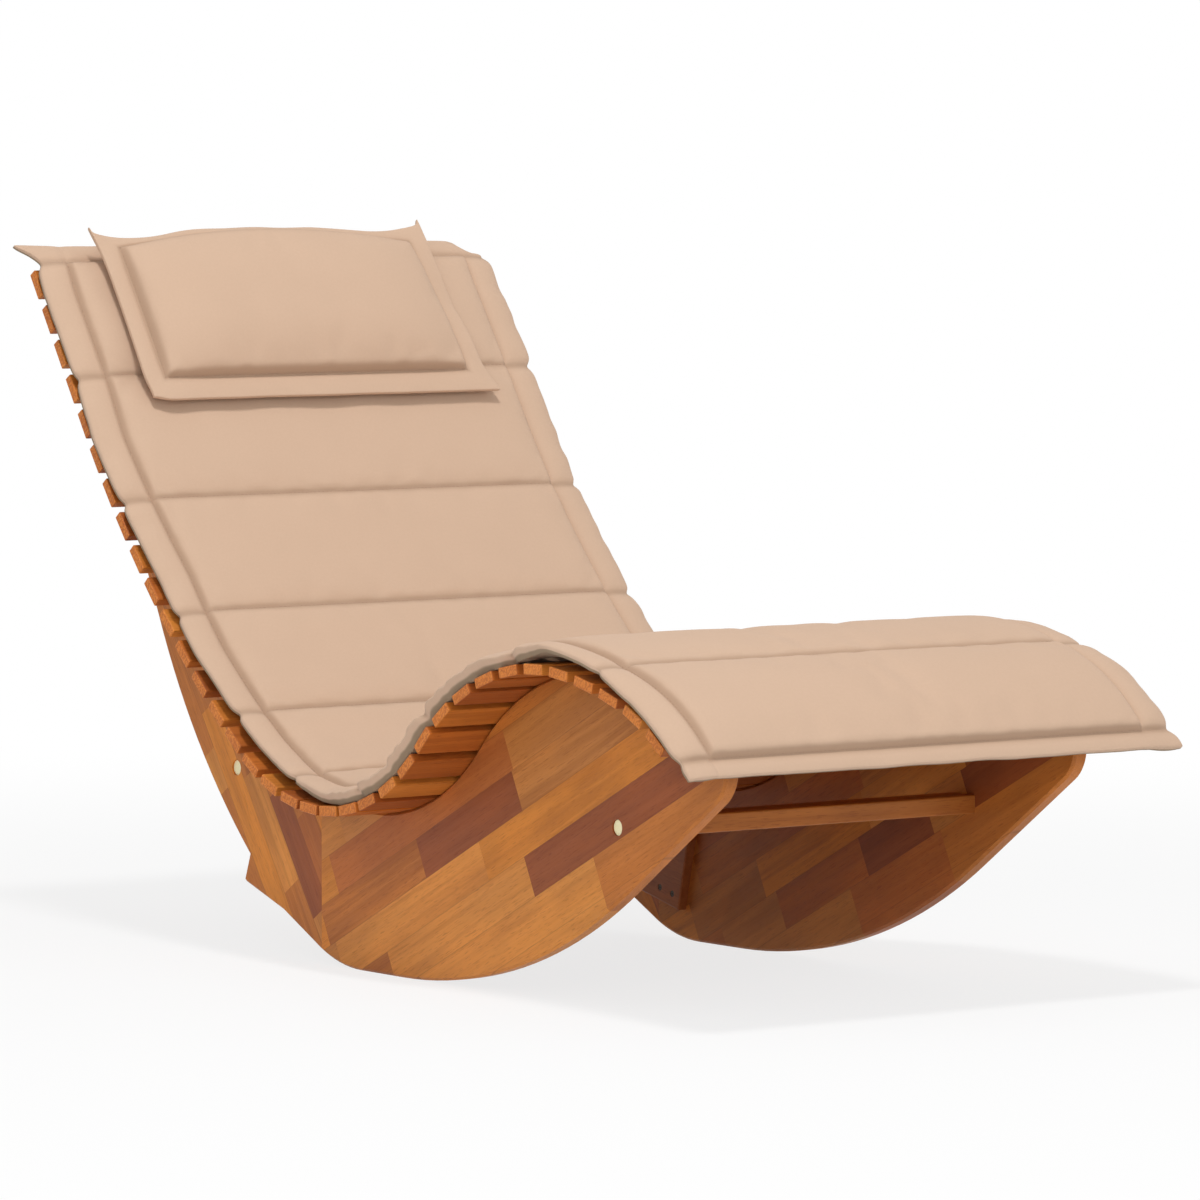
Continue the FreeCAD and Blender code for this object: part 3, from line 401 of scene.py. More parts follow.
# The boards' top edge: the head's straight run and its slope, then each arc's radius, below
# nothing over the hump, and its turn in degrees; and the Y and Z of the edge's lowest point.
HEAD_RUN, HEAD_SLOPE = 0.235, 57.1
PATH_ARCS = ((1.544, 19.1), (0.287, 85.5), (-0.316, 56.0), (-0.59, 10.2), (-0.253, 31.5))
SEAT_LOW = (0.02609, 0.1925)
PATH_START, PATH_END, PATH_STEP = -0.12, 1.9, 0.0005
HOLLOW_END = 1.0


def seat_line():
    """The top edge of the side boards as stations, Y, Z and angle, from above the head."""
    stations = np.arange(PATH_START, PATH_END, PATH_STEP)
    bend = np.zeros_like(stations)
    start = HEAD_RUN
    for index, (radius, turn) in enumerate(PATH_ARCS):
        reach = abs(radius) * math.radians(turn)
        last = index == len(PATH_ARCS) - 1
        inside = (stations >= start) & ((stations < start + reach) | last)
        bend[inside] = 1 / radius
        start += reach
    angle = -math.radians(HEAD_SLOPE) + np.cumsum(bend) * PATH_STEP - bend * PATH_STEP / 2
    y = -np.cumsum(np.cos(angle)) * PATH_STEP
    z = np.cumsum(np.sin(angle)) * PATH_STEP
    low = np.argmin(np.where(stations < HOLLOW_END, z, np.inf))
    return stations, y - y[low] + SEAT_LOW[0], z - z[low] + SEAT_LOW[1], angle


LINE = seat_line()


def on_seat(station, x, height):
    """Points at a station of the seat line, a height above it and a place across it."""
    y, z, angle = (np.interp(station, LINE[0], values) for values in LINE[1:])
    return np.stack([x, y + height * np.sin(angle), z + height * np.cos(angle)], -1)


def on_head(station, x, height):
    """The same on the straight line of the head end, carried on upwards."""
    angle = -math.radians(HEAD_SLOPE)
    head_y, head_z = (np.interp(0.0, LINE[0], values) for values in LINE[1:3])
    y = head_y - station * math.cos(angle) + height * math.sin(angle)
    z = head_z + station * math.sin(angle) + height * math.cos(angle)
    return np.stack([x, y, z], -1)


STEP_GROWTH = 1.4


def steps_between(stops, near, far):
    """Places between stops, close together beside each stop and wider apart between."""
    offsets = [0.0]
    step = near
    while offsets[-1] < 1.0:
        offsets.append(offsets[-1] + step)
        step = min(step * STEP_GROWTH, far)
    places = set()
    for low, high in zip(stops, stops[1:]):
        half = (high - low) / 2
        reached = next(offset for offset in offsets if offset >= half)
        for offset in [even * half / reached for even in offsets if even <= reached]:
            places.add(round(low + offset, 6))
            places.add(round(high - offset, 6))
    return np.array(sorted(places))


def roll(distance, quick, slow, quick_share):
    """How full the filling is at a distance from a seam: a quick roll and then a slow crown."""
    fast = np.clip(distance / quick, 0, 1)
    gentle = np.clip(distance / slow, 0, 1)
    return quick_share * np.sqrt(1 - (1 - fast) ** 2) + (1 - quick_share) * np.sin(gentle * math.pi / 2)


def drift(place, seed):
    """A slow, even noise from -1 to 1 along a line."""
    line = [noise.noise(Vector((p, seed, seed * 0.37))) for p in place.ravel()]
    return np.array(line).reshape(place.shape)


def waves(first, place, pace, seeds):
    """Waves along two opposite edges, so many a metre, each edge with its own seed."""
    return np.where(first, drift(place * pace, seeds[0]), drift(place * pace, seeds[1]))


def dip(distance, spread):
    """One at a line, falling away to nothing on both sides of it."""
    return np.exp(-(distance / spread) ** 2)


def along(place, stops):
    """A value that runs evenly from one (place, value) stop to the next."""
    return np.interp(place, *zip(*stops))


def closed_cloth(name, top, bottom, flat, seam_shade_and_dirt, underside_shade, side_loops=2):
    """A closed cover from two grids of points, joined by a side band, with its own flat map.

    It keeps how much painted shade and dirt each point takes in the seams, and how far it takes the painted
    shade of the underside.
    """
    rows, columns = top.shape[:2]
    count = rows * columns
    index = np.arange(count).reshape(rows, columns)
    quads = np.stack([index[:-1, :-1], index[:-1, 1:], index[1:, 1:], index[1:, :-1]], -1).reshape(-1, 4)
    rim = np.concatenate([index[0, :-1], index[:-1, -1], index[-1, :0:-1], index[:0:-1, 0]])
    upper, lower = top.reshape(-1, 3), bottom.reshape(-1, 3)
    loops, points = [rim], [upper, lower]
    for step in range(side_loops):
        share = (step + 1) / (side_loops + 1)
        points.append(upper[rim] * (1 - share) + lower[rim] * share)
        loops.append(np.arange(len(rim)) + 2 * count + step * len(rim))
    loops.append(rim + count)
    faces = [list(q) for q in quads] + [list(q[::-1] + count) for q in quads]
    for above, below in zip(loops, loops[1:]):
        faces += [[a, b, c, d] for a, b, c, d in zip(np.roll(above, -1), above, below, np.roll(below, -1))]
    mesh = bpy.data.meshes.new(name)
    mesh.from_pydata(np.concatenate(points).tolist(), [], [[int(i) for i in face] for face in faces])
    spread = flat.reshape(-1, 2)
    cloth_map = mesh.uv_layers.new(name="cloth")
    corner = np.zeros(len(mesh.loops), dtype=int)
    mesh.loops.foreach_get("vertex_index", corner)
    every = np.concatenate([spread, spread] + [spread[rim]] * side_loops)
    cloth_map.data.foreach_set("uv", every[corner].ravel())
    shade_and_dirt_mask = mesh.attributes.new("seam_shade_and_dirt", "FLOAT", "POINT")
    shade_and_dirt_values = np.concatenate([seam_shade_and_dirt.ravel()] * 2 + [np.zeros(side_loops * len(rim))])
    shade_and_dirt_mask.data.foreach_set("value", shade_and_dirt_values.astype(np.float32))
    # The lower cloth, and the side loops below the first, take a painted shade: the shadow the underside
    # lies in.
    under = mesh.attributes.new("underside_shade", "FLOAT", "POINT")
    underside_shaded = np.concatenate([np.zeros(count), np.ones(count), np.zeros(len(rim)),
                            np.ones((side_loops - 1) * len(rim))])
    under.data.foreach_set("value", (underside_shaded * underside_shade).astype(np.float32))
    piece = bpy.data.objects.new(name, mesh)
    bpy.context.scene.collection.objects.link(piece)
    work = bmesh.new()
    work.from_mesh(mesh)
    bmesh.ops.recalc_face_normals(work, faces=work.faces)
    work.to_mesh(mesh)
    work.free()
    return piece


def settle(piece):
    """Applies the piece's modifiers, so that its plain mesh is what stays."""
    graph = bpy.context.evaluated_depsgraph_get()
    made = bpy.data.meshes.new_from_object(piece.evaluated_get(graph), depsgraph=graph)
    piece.modifiers.clear()
    piece.data = made
    return made


SWELL_FRAMES, SWELL_QUALITY = 20, 4
SWELL_PRESSURE, SWELL_SLACK = 4.0, 0.012
SEWN_SPREAD = 0.004


def swell(piece, held, most):
    """Cloth blown out by its filling for a moment: sewn points are held, and no move passes the most."""
    mesh = piece.data
    before = np.array([v.co for v in mesh.vertices])
    held = np.round(held, 1).ravel()
    held = np.concatenate([held, np.ones(len(before) - held.size)])
    sewn = piece.vertex_groups.new(name="sewn")
    for level in np.unique(held[held > 0]):
        sewn.add(np.nonzero(held == level)[0].tolist(), float(level), "REPLACE")
    filling = piece.modifiers.new("filling", "CLOTH")
    filling.point_cache.frame_start, filling.point_cache.frame_end = 1, SWELL_FRAMES
    filling.settings.quality = SWELL_QUALITY
    filling.settings.use_pressure = True
    filling.settings.uniform_pressure_force = SWELL_PRESSURE
    filling.settings.shrink_min = -SWELL_SLACK
    filling.settings.vertex_group_mass = "sewn"
    filling.settings.effector_weights.gravity = 0.0
    filling.collision_settings.use_collision = False
    for frame_number in range(1, SWELL_FRAMES + 1):
        bpy.context.scene.frame_set(frame_number)
    swollen = piece.evaluated_get(bpy.context.evaluated_depsgraph_get())
    moves = np.array([v.co for v in swollen.data.vertices]) - before
    size = np.linalg.norm(moves, axis=1, keepdims=True)
    moves *= most / np.sqrt(most ** 2 + size ** 2)
    piece.modifiers.clear()
    piece.vertex_groups.clear()
    bpy.context.scene.frame_set(1)
    mesh.vertices.foreach_set("co", (before + moves).ravel())
    mesh.update()


def soften(piece):
    """One round of subdivision, shaded smooth; the grid's own points stay first in line."""
    rounded = piece.modifiers.new("soft", "SUBSURF")
    rounded.levels = rounded.render_levels = 1
    made = settle(piece)
    made.shade_smooth()
    return np.array([v.co for v in made.vertices])


PAD_WIDTH = 0.69
PAD_SEAMS = np.array([0.012, 0.179, 0.3615, 0.54, 0.712, 0.862, 1.03, 1.21, 1.385, 1.549, 1.716])
PAD_HEAD_FLANGE, PAD_SIDE_FLANGE, PAD_FOOT_FLANGE = 0.03, 0.041, 0.0225

# The pad rests this high over the boards' edge; the other heights are over that rest.
PAD_REST = 0.0138
PAD_EDGE_TOP, PAD_PUFF, PAD_STITCH_TOP, PAD_SEAM_TOP, PAD_CROWN = 0.0145, 0.0055, 0.0165, 0.0215, 0.0262

# Where the two long edges lie, as stations and X.
PAD_NEAR_EDGE = ((-0.02, -0.336), (0.01, -0.344), (0.06, -0.347), (0.18, -0.345), (0.27, -0.349),
                 (0.4, -0.341), (0.48, -0.336), (0.6, -0.341), (0.68, -0.338), (0.8, -0.33),
                 (0.9, -0.336), (1.0, -0.347), (1.1, -0.349), (1.3, -0.345), (1.45, -0.344),
                 (1.6, -0.345), (1.7, -0.345), (1.74, -0.342))
PAD_FAR_EDGE = ((-0.02, 0.336), (0.006, 0.34), (0.04, 0.339), (0.12, 0.341), (0.18, 0.342),
                (0.25, 0.343), (0.36, 0.342), (0.5, 0.343), (0.7, 0.346), (0.9, 0.351),
                (1.1, 0.358), (1.35, 0.366), (1.5, 0.367), (1.6, 0.365), (1.7, 0.3635), (1.74, 0.365))

SEAM_STEP, PAD_ROW_STEP, PAD_COLUMN_STEP = 0.0026, 0.009, 0.015
pad_start, pad_end = PAD_SEAMS[0] - PAD_HEAD_FLANGE, PAD_SEAMS[-1] + PAD_FOOT_FLANGE
pad_rows = steps_between([pad_start] + list(PAD_SEAMS) + [pad_end], SEAM_STEP, PAD_ROW_STEP)
pad_columns = steps_between([0.0, PAD_SIDE_FLANGE, PAD_WIDTH - PAD_SIDE_FLANGE, PAD_WIDTH],
                            SEAM_STEP, PAD_COLUMN_STEP)
station, across_place = np.meshgrid(pad_rows, pad_columns, indexing="ij")
side_distance = np.minimum(across_place, PAD_WIDTH - across_place)
seam_distance = np.min([np.abs(station - s) for s in PAD_SEAMS], axis=0)
from_end_seams = np.minimum(station - PAD_SEAMS[0], PAD_SEAMS[-1] - station)
to_stitch = np.minimum(side_distance - PAD_SIDE_FLANGE, from_end_seams)
filled = to_stitch > 0
from_stitch = np.clip(to_stitch, 0, 1)
near_side = across_place < PAD_WIDTH / 2

# The filling rolls up quickly from every seam and slowly to a crown, each roll as its quick and
# its slow reach and the share of the quick one.
NEAR_ROLL, FAR_ROLL = (0.012, 0.05, 0.72), (0.03, 0.06, 0.72)
CHANNEL_ROLL, FOOT_ROLL, FOOT_CHANNEL = (0.011, 0.06, 0.74), (0.005, 0.09, 0.45), 1.64
STITCH_ROLL = (0.006, 0.02, 0.9)
SEAM_SPREAD, STITCH_SPREAD, FAR_STITCH = 0.005, 0.004, 0.35
SEAM_GROOVE, SIDE_GROOVE = 0.0012, 0.0014
inside_flange = np.clip(side_distance - PAD_SIDE_FLANGE, 0, 1)
side_roll = np.where(near_side, roll(inside_flange, *NEAR_ROLL), roll(inside_flange, *FAR_ROLL))
seam_roll = np.where(station > FOOT_CHANNEL, roll(seam_distance, *FOOT_ROLL),
                     roll(seam_distance, *CHANNEL_ROLL))
fill = np.where(filled, side_roll * seam_roll, 0.0)
across_seam = dip(seam_distance, SEAM_SPREAD)
side_stitch = dip(side_distance - PAD_SIDE_FLANGE, STITCH_SPREAD) * np.where(near_side, 1.0, FAR_STITCH)

# The flange is loose: it waves between the seams and is pinched in at each one.
SEAM_PINCH, PINCH_SPREAD, STILL_SPREAD = 0.0062, 0.007, 0.01
EDGE_OUT, BROAD_OUT, SMALL_OUT = 0.001, 0.002, 0.0018
BROAD_UP, SMALL_UP, FINE_UP = 0.0028, 0.0014, 0.001
FOOT_OUT, HEAD_OUT, FOOT_UP, HEAD_DROP = 0.0018, 0.0015, 0.0025, 0.007
outwards = np.where(near_side, -1.0, 1.0)
at_side = 1 - np.clip(side_distance / PAD_SIDE_FLANGE, 0, 1)
at_head = 1 - np.clip((station - pad_start) / PAD_HEAD_FLANGE, 0, 1)
at_foot = 1 - np.clip((pad_end - station) / PAD_FOOT_FLANGE, 0, 1)
broad_wave = waves(near_side, station, 16, (3.1, 8.7))
small_wave = waves(near_side, station, 48, (5.3, 1.9))
fine_wave = waves(near_side, station, 85, (2.9, 6.6))
away_from_seam = 1 - dip(seam_distance, STILL_SPREAD)
pinched = SEAM_PINCH * dip(seam_distance, PINCH_SPREAD)
push = at_side * (EDGE_OUT - pinched + BROAD_OUT * broad_wave + SMALL_OUT * small_wave)
lift = at_side * (BROAD_UP * broad_wave + SMALL_UP * small_wave + FINE_UP * fine_wave) * away_from_seam
end_wave = drift(across_place * 14, 2.3) + 0.4 * drift(across_place * 37, 6.1)
end_push = at_foot * FOOT_OUT * end_wave - at_head * HEAD_OUT * end_wave
lift += at_foot * FOOT_UP * np.roll(end_wave, 3, axis=1) - at_head ** 2 * HEAD_DROP

# Up the rise and over the hump the side is tucked in under its edge, down to the slats. Beside
# the hips and past the hump's crown the edge hovers over them, and towards the foot it droops.
TUCKED = ((0.88, 0.0), (0.98, 1.0), (1.38, 1.0), (1.46, 0.0))
HOVERING = ((0.5, 0.0), (0.66, 0.8), (0.86, 0.8), (0.95, 0.0), (1.37, 0.0), (1.44, 1.0), (1.52, 1.0),
            (1.6, 0.0))
DROOPING = ((1.56, 0.0), (1.66, 1.0), (1.74, 0.6))
FAR_TUCK, HOVER_HEIGHT, DROOP_DEPTH = 0.6, 0.007, 0.004
TUCK_SMALL_UP, TUCK_FINE_UP, TUCK_FINE_OUT = 0.004, 0.0055, 0.003
TUCK_IN, TUCK_SMALL_IN, TUCK_FINE_IN, TUCK_UNDER = 0.009, 0.002, 0.0025, 0.0004
tuck = along(station, TUCKED) * np.where(near_side, 1.0, FAR_TUCK)
hover = along(station, HOVERING) * near_side
droop = along(station, DROOPING) * near_side
lift += at_side * hover * HOVER_HEIGHT
lift += at_side ** 1.5 * tuck * (TUCK_SMALL_UP * small_wave + TUCK_FINE_UP * fine_wave)
push += at_side * tuck * TUCK_FINE_OUT * fine_wave
lift -= at_side ** 1.5 * droop * DROOP_DEPTH

# Heights of the upper and the lower cloth over the pad's rest.
PUFF_SPREAD, PUFF_AT_SEAM, END_SINK, END_PUFF = 0.012, 0.55, 0.001, 0.002
UNDER_FILLING, UNDER_FLANGE, UNDER_PUFF = 0.007, 0.0075, 0.003
flange_puff = np.sin((1 - at_side) * math.pi) ** 0.7
flange_top = PAD_EDGE_TOP + (PAD_STITCH_TOP - PAD_EDGE_TOP) * (1 - at_side)
flattened = 1 - PUFF_AT_SEAM * dip(seam_distance, PUFF_SPREAD)
flange_top = flange_top + PAD_PUFF * flange_puff * flattened
stitched = PAD_STITCH_TOP + (PAD_SEAM_TOP - PAD_STITCH_TOP) * roll(from_stitch, *STITCH_ROLL)
top_height = np.where(filled, stitched + (PAD_CROWN - PAD_SEAM_TOP) * fill, flange_top)
at_ends = np.maximum(at_head, at_foot)
end_top = PAD_EDGE_TOP - END_SINK + END_PUFF * np.sin((1 - at_ends) * math.pi)
top_height = np.where(at_ends > 0, np.minimum(top_height, end_top), top_height)
top_height = top_height - SIDE_GROOVE * side_stitch - SEAM_GROOVE * across_seam
under_filling = UNDER_FILLING * (1 - np.clip(fill * 1.3, 0, 1))
under_flange = UNDER_FLANGE - UNDER_PUFF * np.sin((1 - at_side) * math.pi)
low_height = np.where(filled, under_filling, under_flange)
low_height = low_height * (1 - tuck * at_side ** 0.5) - tuck * at_side * TUCK_UNDER

near_edge, far_edge = along(station, PAD_NEAR_EDGE), along(station, PAD_FAR_EDGE)
pad_x = near_edge + (far_edge - near_edge) * across_place / PAD_WIDTH + outwards * push

# Each corner of the flange curls up into an ear that reaches out, or is rounded in.
PAD_CORNERS = (("near", "head", 0.03, 0.003, 0.014), ("far", "head", -0.026, -0.006, 0.022),
               ("near", "foot", -0.004, -0.001, 0.014), ("far", "foot", 0.007, -0.002, 0.02))
PAD_CORNER_SPREAD = 0.028
for side, end, reach, curl, spread in PAD_CORNERS:
    edge, sign = (0.0, -1) if side == "near" else (PAD_WIDTH, 1)
    tip, way = (pad_start, -1) if end == "head" else (pad_end, 1)
    corner = dip(across_place - edge, PAD_CORNER_SPREAD) * dip(station - tip, spread)
    pad_x = pad_x + sign * reach * corner
    end_push = end_push + way * min(reach, 0.0) * 0.5 * corner
    lift = lift + curl * corner
top_height = top_height + lift
low_height = low_height + lift * (1 - tuck * at_side)
tucked_in = TUCK_IN + TUCK_SMALL_IN * small_wave + TUCK_FINE_IN * fine_wave
tucked_x = pad_x - outwards * at_side ** 2 * tuck * tucked_in

pad_top = on_seat(station + end_push, pad_x, PAD_REST + top_height)
pad_bottom = on_seat(station + end_push, tucked_x, PAD_REST + low_height)
# How much each point takes of the painted shade and dirt along the seams and the side stitching.
between_ends = (station > PAD_SEAMS[0]) & (station < PAD_SEAMS[-1])
seam_shade_and_dirt = np.clip(np.maximum(across_seam, side_stitch * between_ends), 0, 1)
pad_flat = np.stack([across_place, station], -1)
pad = closed_cloth("pad_cover", pad_top, pad_bottom, pad_flat, seam_shade_and_dirt, 1.0)
PAD_SWELL = 0.003
pad_sewn = np.maximum(dip(from_stitch, SEWN_SPREAD), dip(seam_distance, SEWN_SPREAD))
swell(pad, np.where(filled, pad_sewn, 1.0), PAD_SWELL)
pad_points = soften(pad)


YARNS, SLUBS, PATCHES = 900.0, 260.0, 14.0
# How strongly the seams take their painted shade and dirt.
SEAM_SHADE_AND_DIRT_SHARE = 0.55


def cloth_material(name, tone, shade, underside_shade):
    """Plain-woven matt cloth: yarns over and under, slubs, and painted shade with some dirt in the seams.
    """
    material, tree, shader = new_material(name)
    flat_map = put(tree, "ShaderNodeUVMap", uv_map="cloth").outputs[0]
    yarns = put(tree, "ShaderNodeVectorMath", {0: flat_map, 3: YARNS}, operation="SCALE").outputs[0]
    weave = put(tree, "ShaderNodeTexChecker", {"Vector": yarns, "Scale": 1.0}).outputs["Fac"]
    parts = put(tree, "ShaderNodeSeparateXYZ", {0: yarns}).outputs
    warp = calc(tree, "PINGPONG", parts[0], 0.5)
    weft = calc(tree, "PINGPONG", parts[1], 0.5)
    crown = put(tree, "ShaderNodeMix", {0: weave, 2: warp, 3: weft}, data_type="FLOAT").outputs[0]
    slub_feeds = {"Vector": flat_map, "Scale": SLUBS, "Detail": 3.0}
    slub = put(tree, "ShaderNodeTexNoise", slub_feeds).outputs["Fac"]
    patch_feeds = {"Vector": flat_map, "Scale": PATCHES, "Detail": 2.0}
    patch = put(tree, "ShaderNodeTexNoise", patch_feeds).outputs["Fac"]
    shade_and_dirt_mask = put(tree, "ShaderNodeAttribute", attribute_name="seam_shade_and_dirt").outputs["Fac"]
    colour = tone
    # The last mask lays painted shade, with some dirt, along the seams and stitch lines.
    for mask, strength in ((slub, 0.12), (patch, 0.1), (crown, 0.12), (shade_and_dirt_mask, SEAM_SHADE_AND_DIRT_SHARE)):
        colour = blended(tree, calc(tree, "MULTIPLY", mask, strength), colour, shade)
    # Painted shade on the underside: a greyer, darker tone where the cloth lies in shadow.
    under = put(tree, "ShaderNodeAttribute", attribute_name="underside_shade").outputs["Fac"]
    colour = blended(tree, between(tree, under, 0.3, 0.9), colour, underside_shade)
    height = calc(tree, "MULTIPLY_ADD", slub, 0.35, crown)
    bump = put(tree, "ShaderNodeBump", {"Height": height, "Strength": 0.3, "Distance": 0.0003})
    tree.links.new(colour, shader.inputs["Base Color"])
    tree.links.new(calc(tree, "MULTIPLY_ADD", slub, 0.1, 0.82), shader.inputs["Roughness"])
    tree.links.new(bump.outputs[0], shader.inputs["Normal"])
    shader.inputs["Specular IOR Level"].default_value = 0.15
    shader.inputs["Sheen Weight"].default_value = 0.06
    shader.inputs["Sheen Roughness"].default_value = 0.5
    return material


# The underside tone is painted shade, the tone the pad's underside takes in its own shadow.
beige_cloth = cloth_material("beige_cloth", tone=paint(211, 180, 155), shade=paint(160, 131, 108),
                             underside_shade=paint(150, 129, 106))
pad.data.materials.append(beige_cloth)
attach(pad, "root")
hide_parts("pad")


# Stitching of the pad
# A lockstitch in thread of the cloth's colour runs along every seam.

thread_material, thread_tree, thread_shader = new_material("beige_thread")
thread_place = put(thread_tree, "ShaderNodeTexCoord").outputs["Object"]
THREAD_PLIES = 2600.0
ply_feeds = {"Vector": thread_place, "Scale": THREAD_PLIES, "Detail": 1.0}
ply = put(thread_tree, "ShaderNodeTexNoise", ply_feeds).outputs["Fac"]
thread_tone = blended(thread_tree, ply, paint(188, 156, 132), paint(166, 134, 112))
thread_bump = put(thread_tree, "ShaderNodeBump", {"Height": ply, "Strength": 0.3, "Distance": 0.0001})
thread_tree.links.new(thread_tone, thread_shader.inputs["Base Color"])
thread_tree.links.new(thread_bump.outputs[0], thread_shader.inputs["Normal"])
thread_shader.inputs["Roughness"].default_value = 0.75

STITCH_SIZES = {"Pitch": 0.006, "Stitch Length": 0.0046, "Thread": 0.0009}


def stitch_tree(material):
    """Small rounded stitches set along a line, one after another."""
    tree = bpy.data.node_groups.new("stitch_row", "GeometryNodeTree")
    tree.interface.new_socket("Geometry", in_out="INPUT", socket_type="NodeSocketGeometry")
    for label, value in STITCH_SIZES.items():
        socket = tree.interface.new_socket(label, in_out="INPUT", socket_type="NodeSocketFloat")
        socket.default_value = value
    tree.interface.new_socket("Geometry", in_out="OUTPUT", socket_type="NodeSocketGeometry")
    given = tree.nodes.new("NodeGroupInput").outputs
    made = tree.nodes.new("NodeGroupOutput").inputs
    line = put(tree, "GeometryNodeMeshToCurve", {"Mesh": given["Geometry"]}).outputs[0]
    spaced = put(tree, "GeometryNodeResampleCurve", {"Curve": line, "Length": given["Pitch"]},
                 mode="LENGTH")
    tangent = tree.nodes.new("GeometryNodeInputTangent").outputs[0]
    turn = put(tree, "FunctionNodeAlignRotationToVector", {"Vector": tangent}, axis="X").outputs[0]
    bead_feeds = {"Segments": 6, "Rings": 4, "Radius": 0.5}
    bead = put(tree, "GeometryNodeMeshUVSphere", bead_feeds).outputs["Mesh"]
    span = put(tree, "ShaderNodeCombineXYZ",
               {0: given["Stitch Length"], 1: given["Thread"], 2: given["Thread"]})
    placed = put(tree, "GeometryNodeInstanceOnPoints",
                 {"Points": spaced.outputs[0], "Instance": bead, "Rotation": turn,
                  "Scale": span.outputs[0]})
    real = put(tree, "GeometryNodeRealizeInstances", {0: placed.outputs[0]}).outputs[0]
    coated = put(tree, "GeometryNodeSetMaterial", {"Geometry": real, "Material": material}).outputs[0]
    tree.links.new(coated, made["Geometry"])
    return tree


stitching = stitch_tree(thread_material)


def sew(name, lines):
    """Stitches along lines of points, as one plain mesh."""
    points, edges = [], []
    for line in lines:
        first = len(points)
        points += [tuple(p) for p in line]
        edges += [(i, i + 1) for i in range(first, len(points) - 1)]
    mesh = bpy.data.meshes.new(name)
    mesh.from_pydata(points, edges, [])
    piece = bpy.data.objects.new(name, mesh)
    bpy.context.scene.collection.objects.link(piece)
    modifier = piece.modifiers.new("stitches", "NODES")
    modifier.node_group = stitching
    for item in stitching.interface.items_tree:
        if item.in_out == "INPUT" and item.name in STITCH_SIZES:
            modifier[item.identifier] = STITCH_SIZES[item.name]
    settle(piece).shade_smooth()
    return piece


def grid_lines(points, rows, columns, at_rows, at_columns, raise_by):
    """Lines of the cover's own grid points along given seams, lifted a little."""
    grid = points[:len(rows) * len(columns)].reshape(len(rows), len(columns), 3) + np.array(raise_by)
    row_index = [int(np.argmin(np.abs(rows - place))) for place in at_rows]
    column_index = [int(np.argmin(np.abs(columns - place))) for place in at_columns]
    lines = [grid[r, column_index[0]:column_index[-1] + 1] for r in row_index]
    return lines + [grid[row_index[0]:row_index[-1] + 1, c] for c in column_index]


pad_side_seams = [PAD_SIDE_FLANGE, PAD_WIDTH - PAD_SIDE_FLANGE]
pad_stitches = sew("pad_stitches", grid_lines(pad_points, pad_rows, pad_columns, PAD_SEAMS,
                                              pad_side_seams, raise_by=(0.0, 0.0, 0.0002)))
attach(pad_stitches, "root")


# Head pillow
# A flat fibre-filled pillow of the same cloth, with a stitched flange all
# round; it lies on the head end of the pad.

PILLOW_WIDTH, PILLOW_HEIGHT, PILLOW_FLANGE = 0.52, 0.246, 0.031
PILLOW_FOOT, PILLOW_NEAR = 0.2295, -0.2695
PILLOW_EDGE_TOP, PILLOW_CROWN, PILLOW_BELLY = 0.005, 0.034, 0.0105

# Its flange lies over the boards' edge by the slats, the pad's crown, a gap and its belly.
SLATS_HEIGHT, PAD_THICKNESS, PILLOW_GAP = 0.0142, 0.029, 0.0004
PILLOW_REST = SLATS_HEIGHT + PAD_THICKNESS + PILLOW_GAP + PILLOW_BELLY

PILLOW_ROW_STEP, PILLOW_COLUMN_STEP = 0.011, 0.013
pillow_rows = steps_between([0.0, PILLOW_FLANGE, PILLOW_HEIGHT - PILLOW_FLANGE, PILLOW_HEIGHT],
                            SEAM_STEP, PILLOW_ROW_STEP)
pillow_columns = steps_between([0.0, PILLOW_FLANGE, PILLOW_WIDTH - PILLOW_FLANGE, PILLOW_WIDTH],
                               SEAM_STEP, PILLOW_COLUMN_STEP)
rise, breadth = np.meshgrid(pillow_rows, pillow_columns, indexing="ij")
from_side = np.minimum(breadth, PILLOW_WIDTH - breadth)
from_end = np.minimum(rise, PILLOW_HEIGHT - rise)
from_rim = np.minimum(from_side, from_end)
PILLOW_SIDE_ROLL, PILLOW_END_ROLL = (0.009, 0.1, 0.5), (0.008, 0.075, 0.56)
side_roll = roll(np.clip(from_side - PILLOW_FLANGE, 0, 1), *PILLOW_SIDE_ROLL)
end_roll = roll(np.clip(from_end - PILLOW_FLANGE, 0, 1), *PILLOW_END_ROLL)
plump = np.where(from_rim > PILLOW_FLANGE, side_roll * end_roll, 0.0)
stitch_line = dip(from_rim - PILLOW_FLANGE, STITCH_SPREAD)
at_side = 1 - np.clip(from_side / PILLOW_FLANGE, 0, 1)
at_end = 1 - np.clip(from_end / PILLOW_FLANGE, 0, 1)
near_side, foot_end = breadth < PILLOW_WIDTH / 2, rise < PILLOW_HEIGHT / 2
side_sign, end_sign = np.where(near_side, -1.0, 1.0), np.where(foot_end, -1.0, 1.0)
side_wave = waves(near_side, rise, 24, (4.4, 9.2))
end_wave = waves(foot_end, breadth, 14, (7.7, 0.6))
waist = np.sin(np.clip(breadth / PILLOW_WIDTH, 0, 1) * math.pi)
height_share = rise / PILLOW_HEIGHT

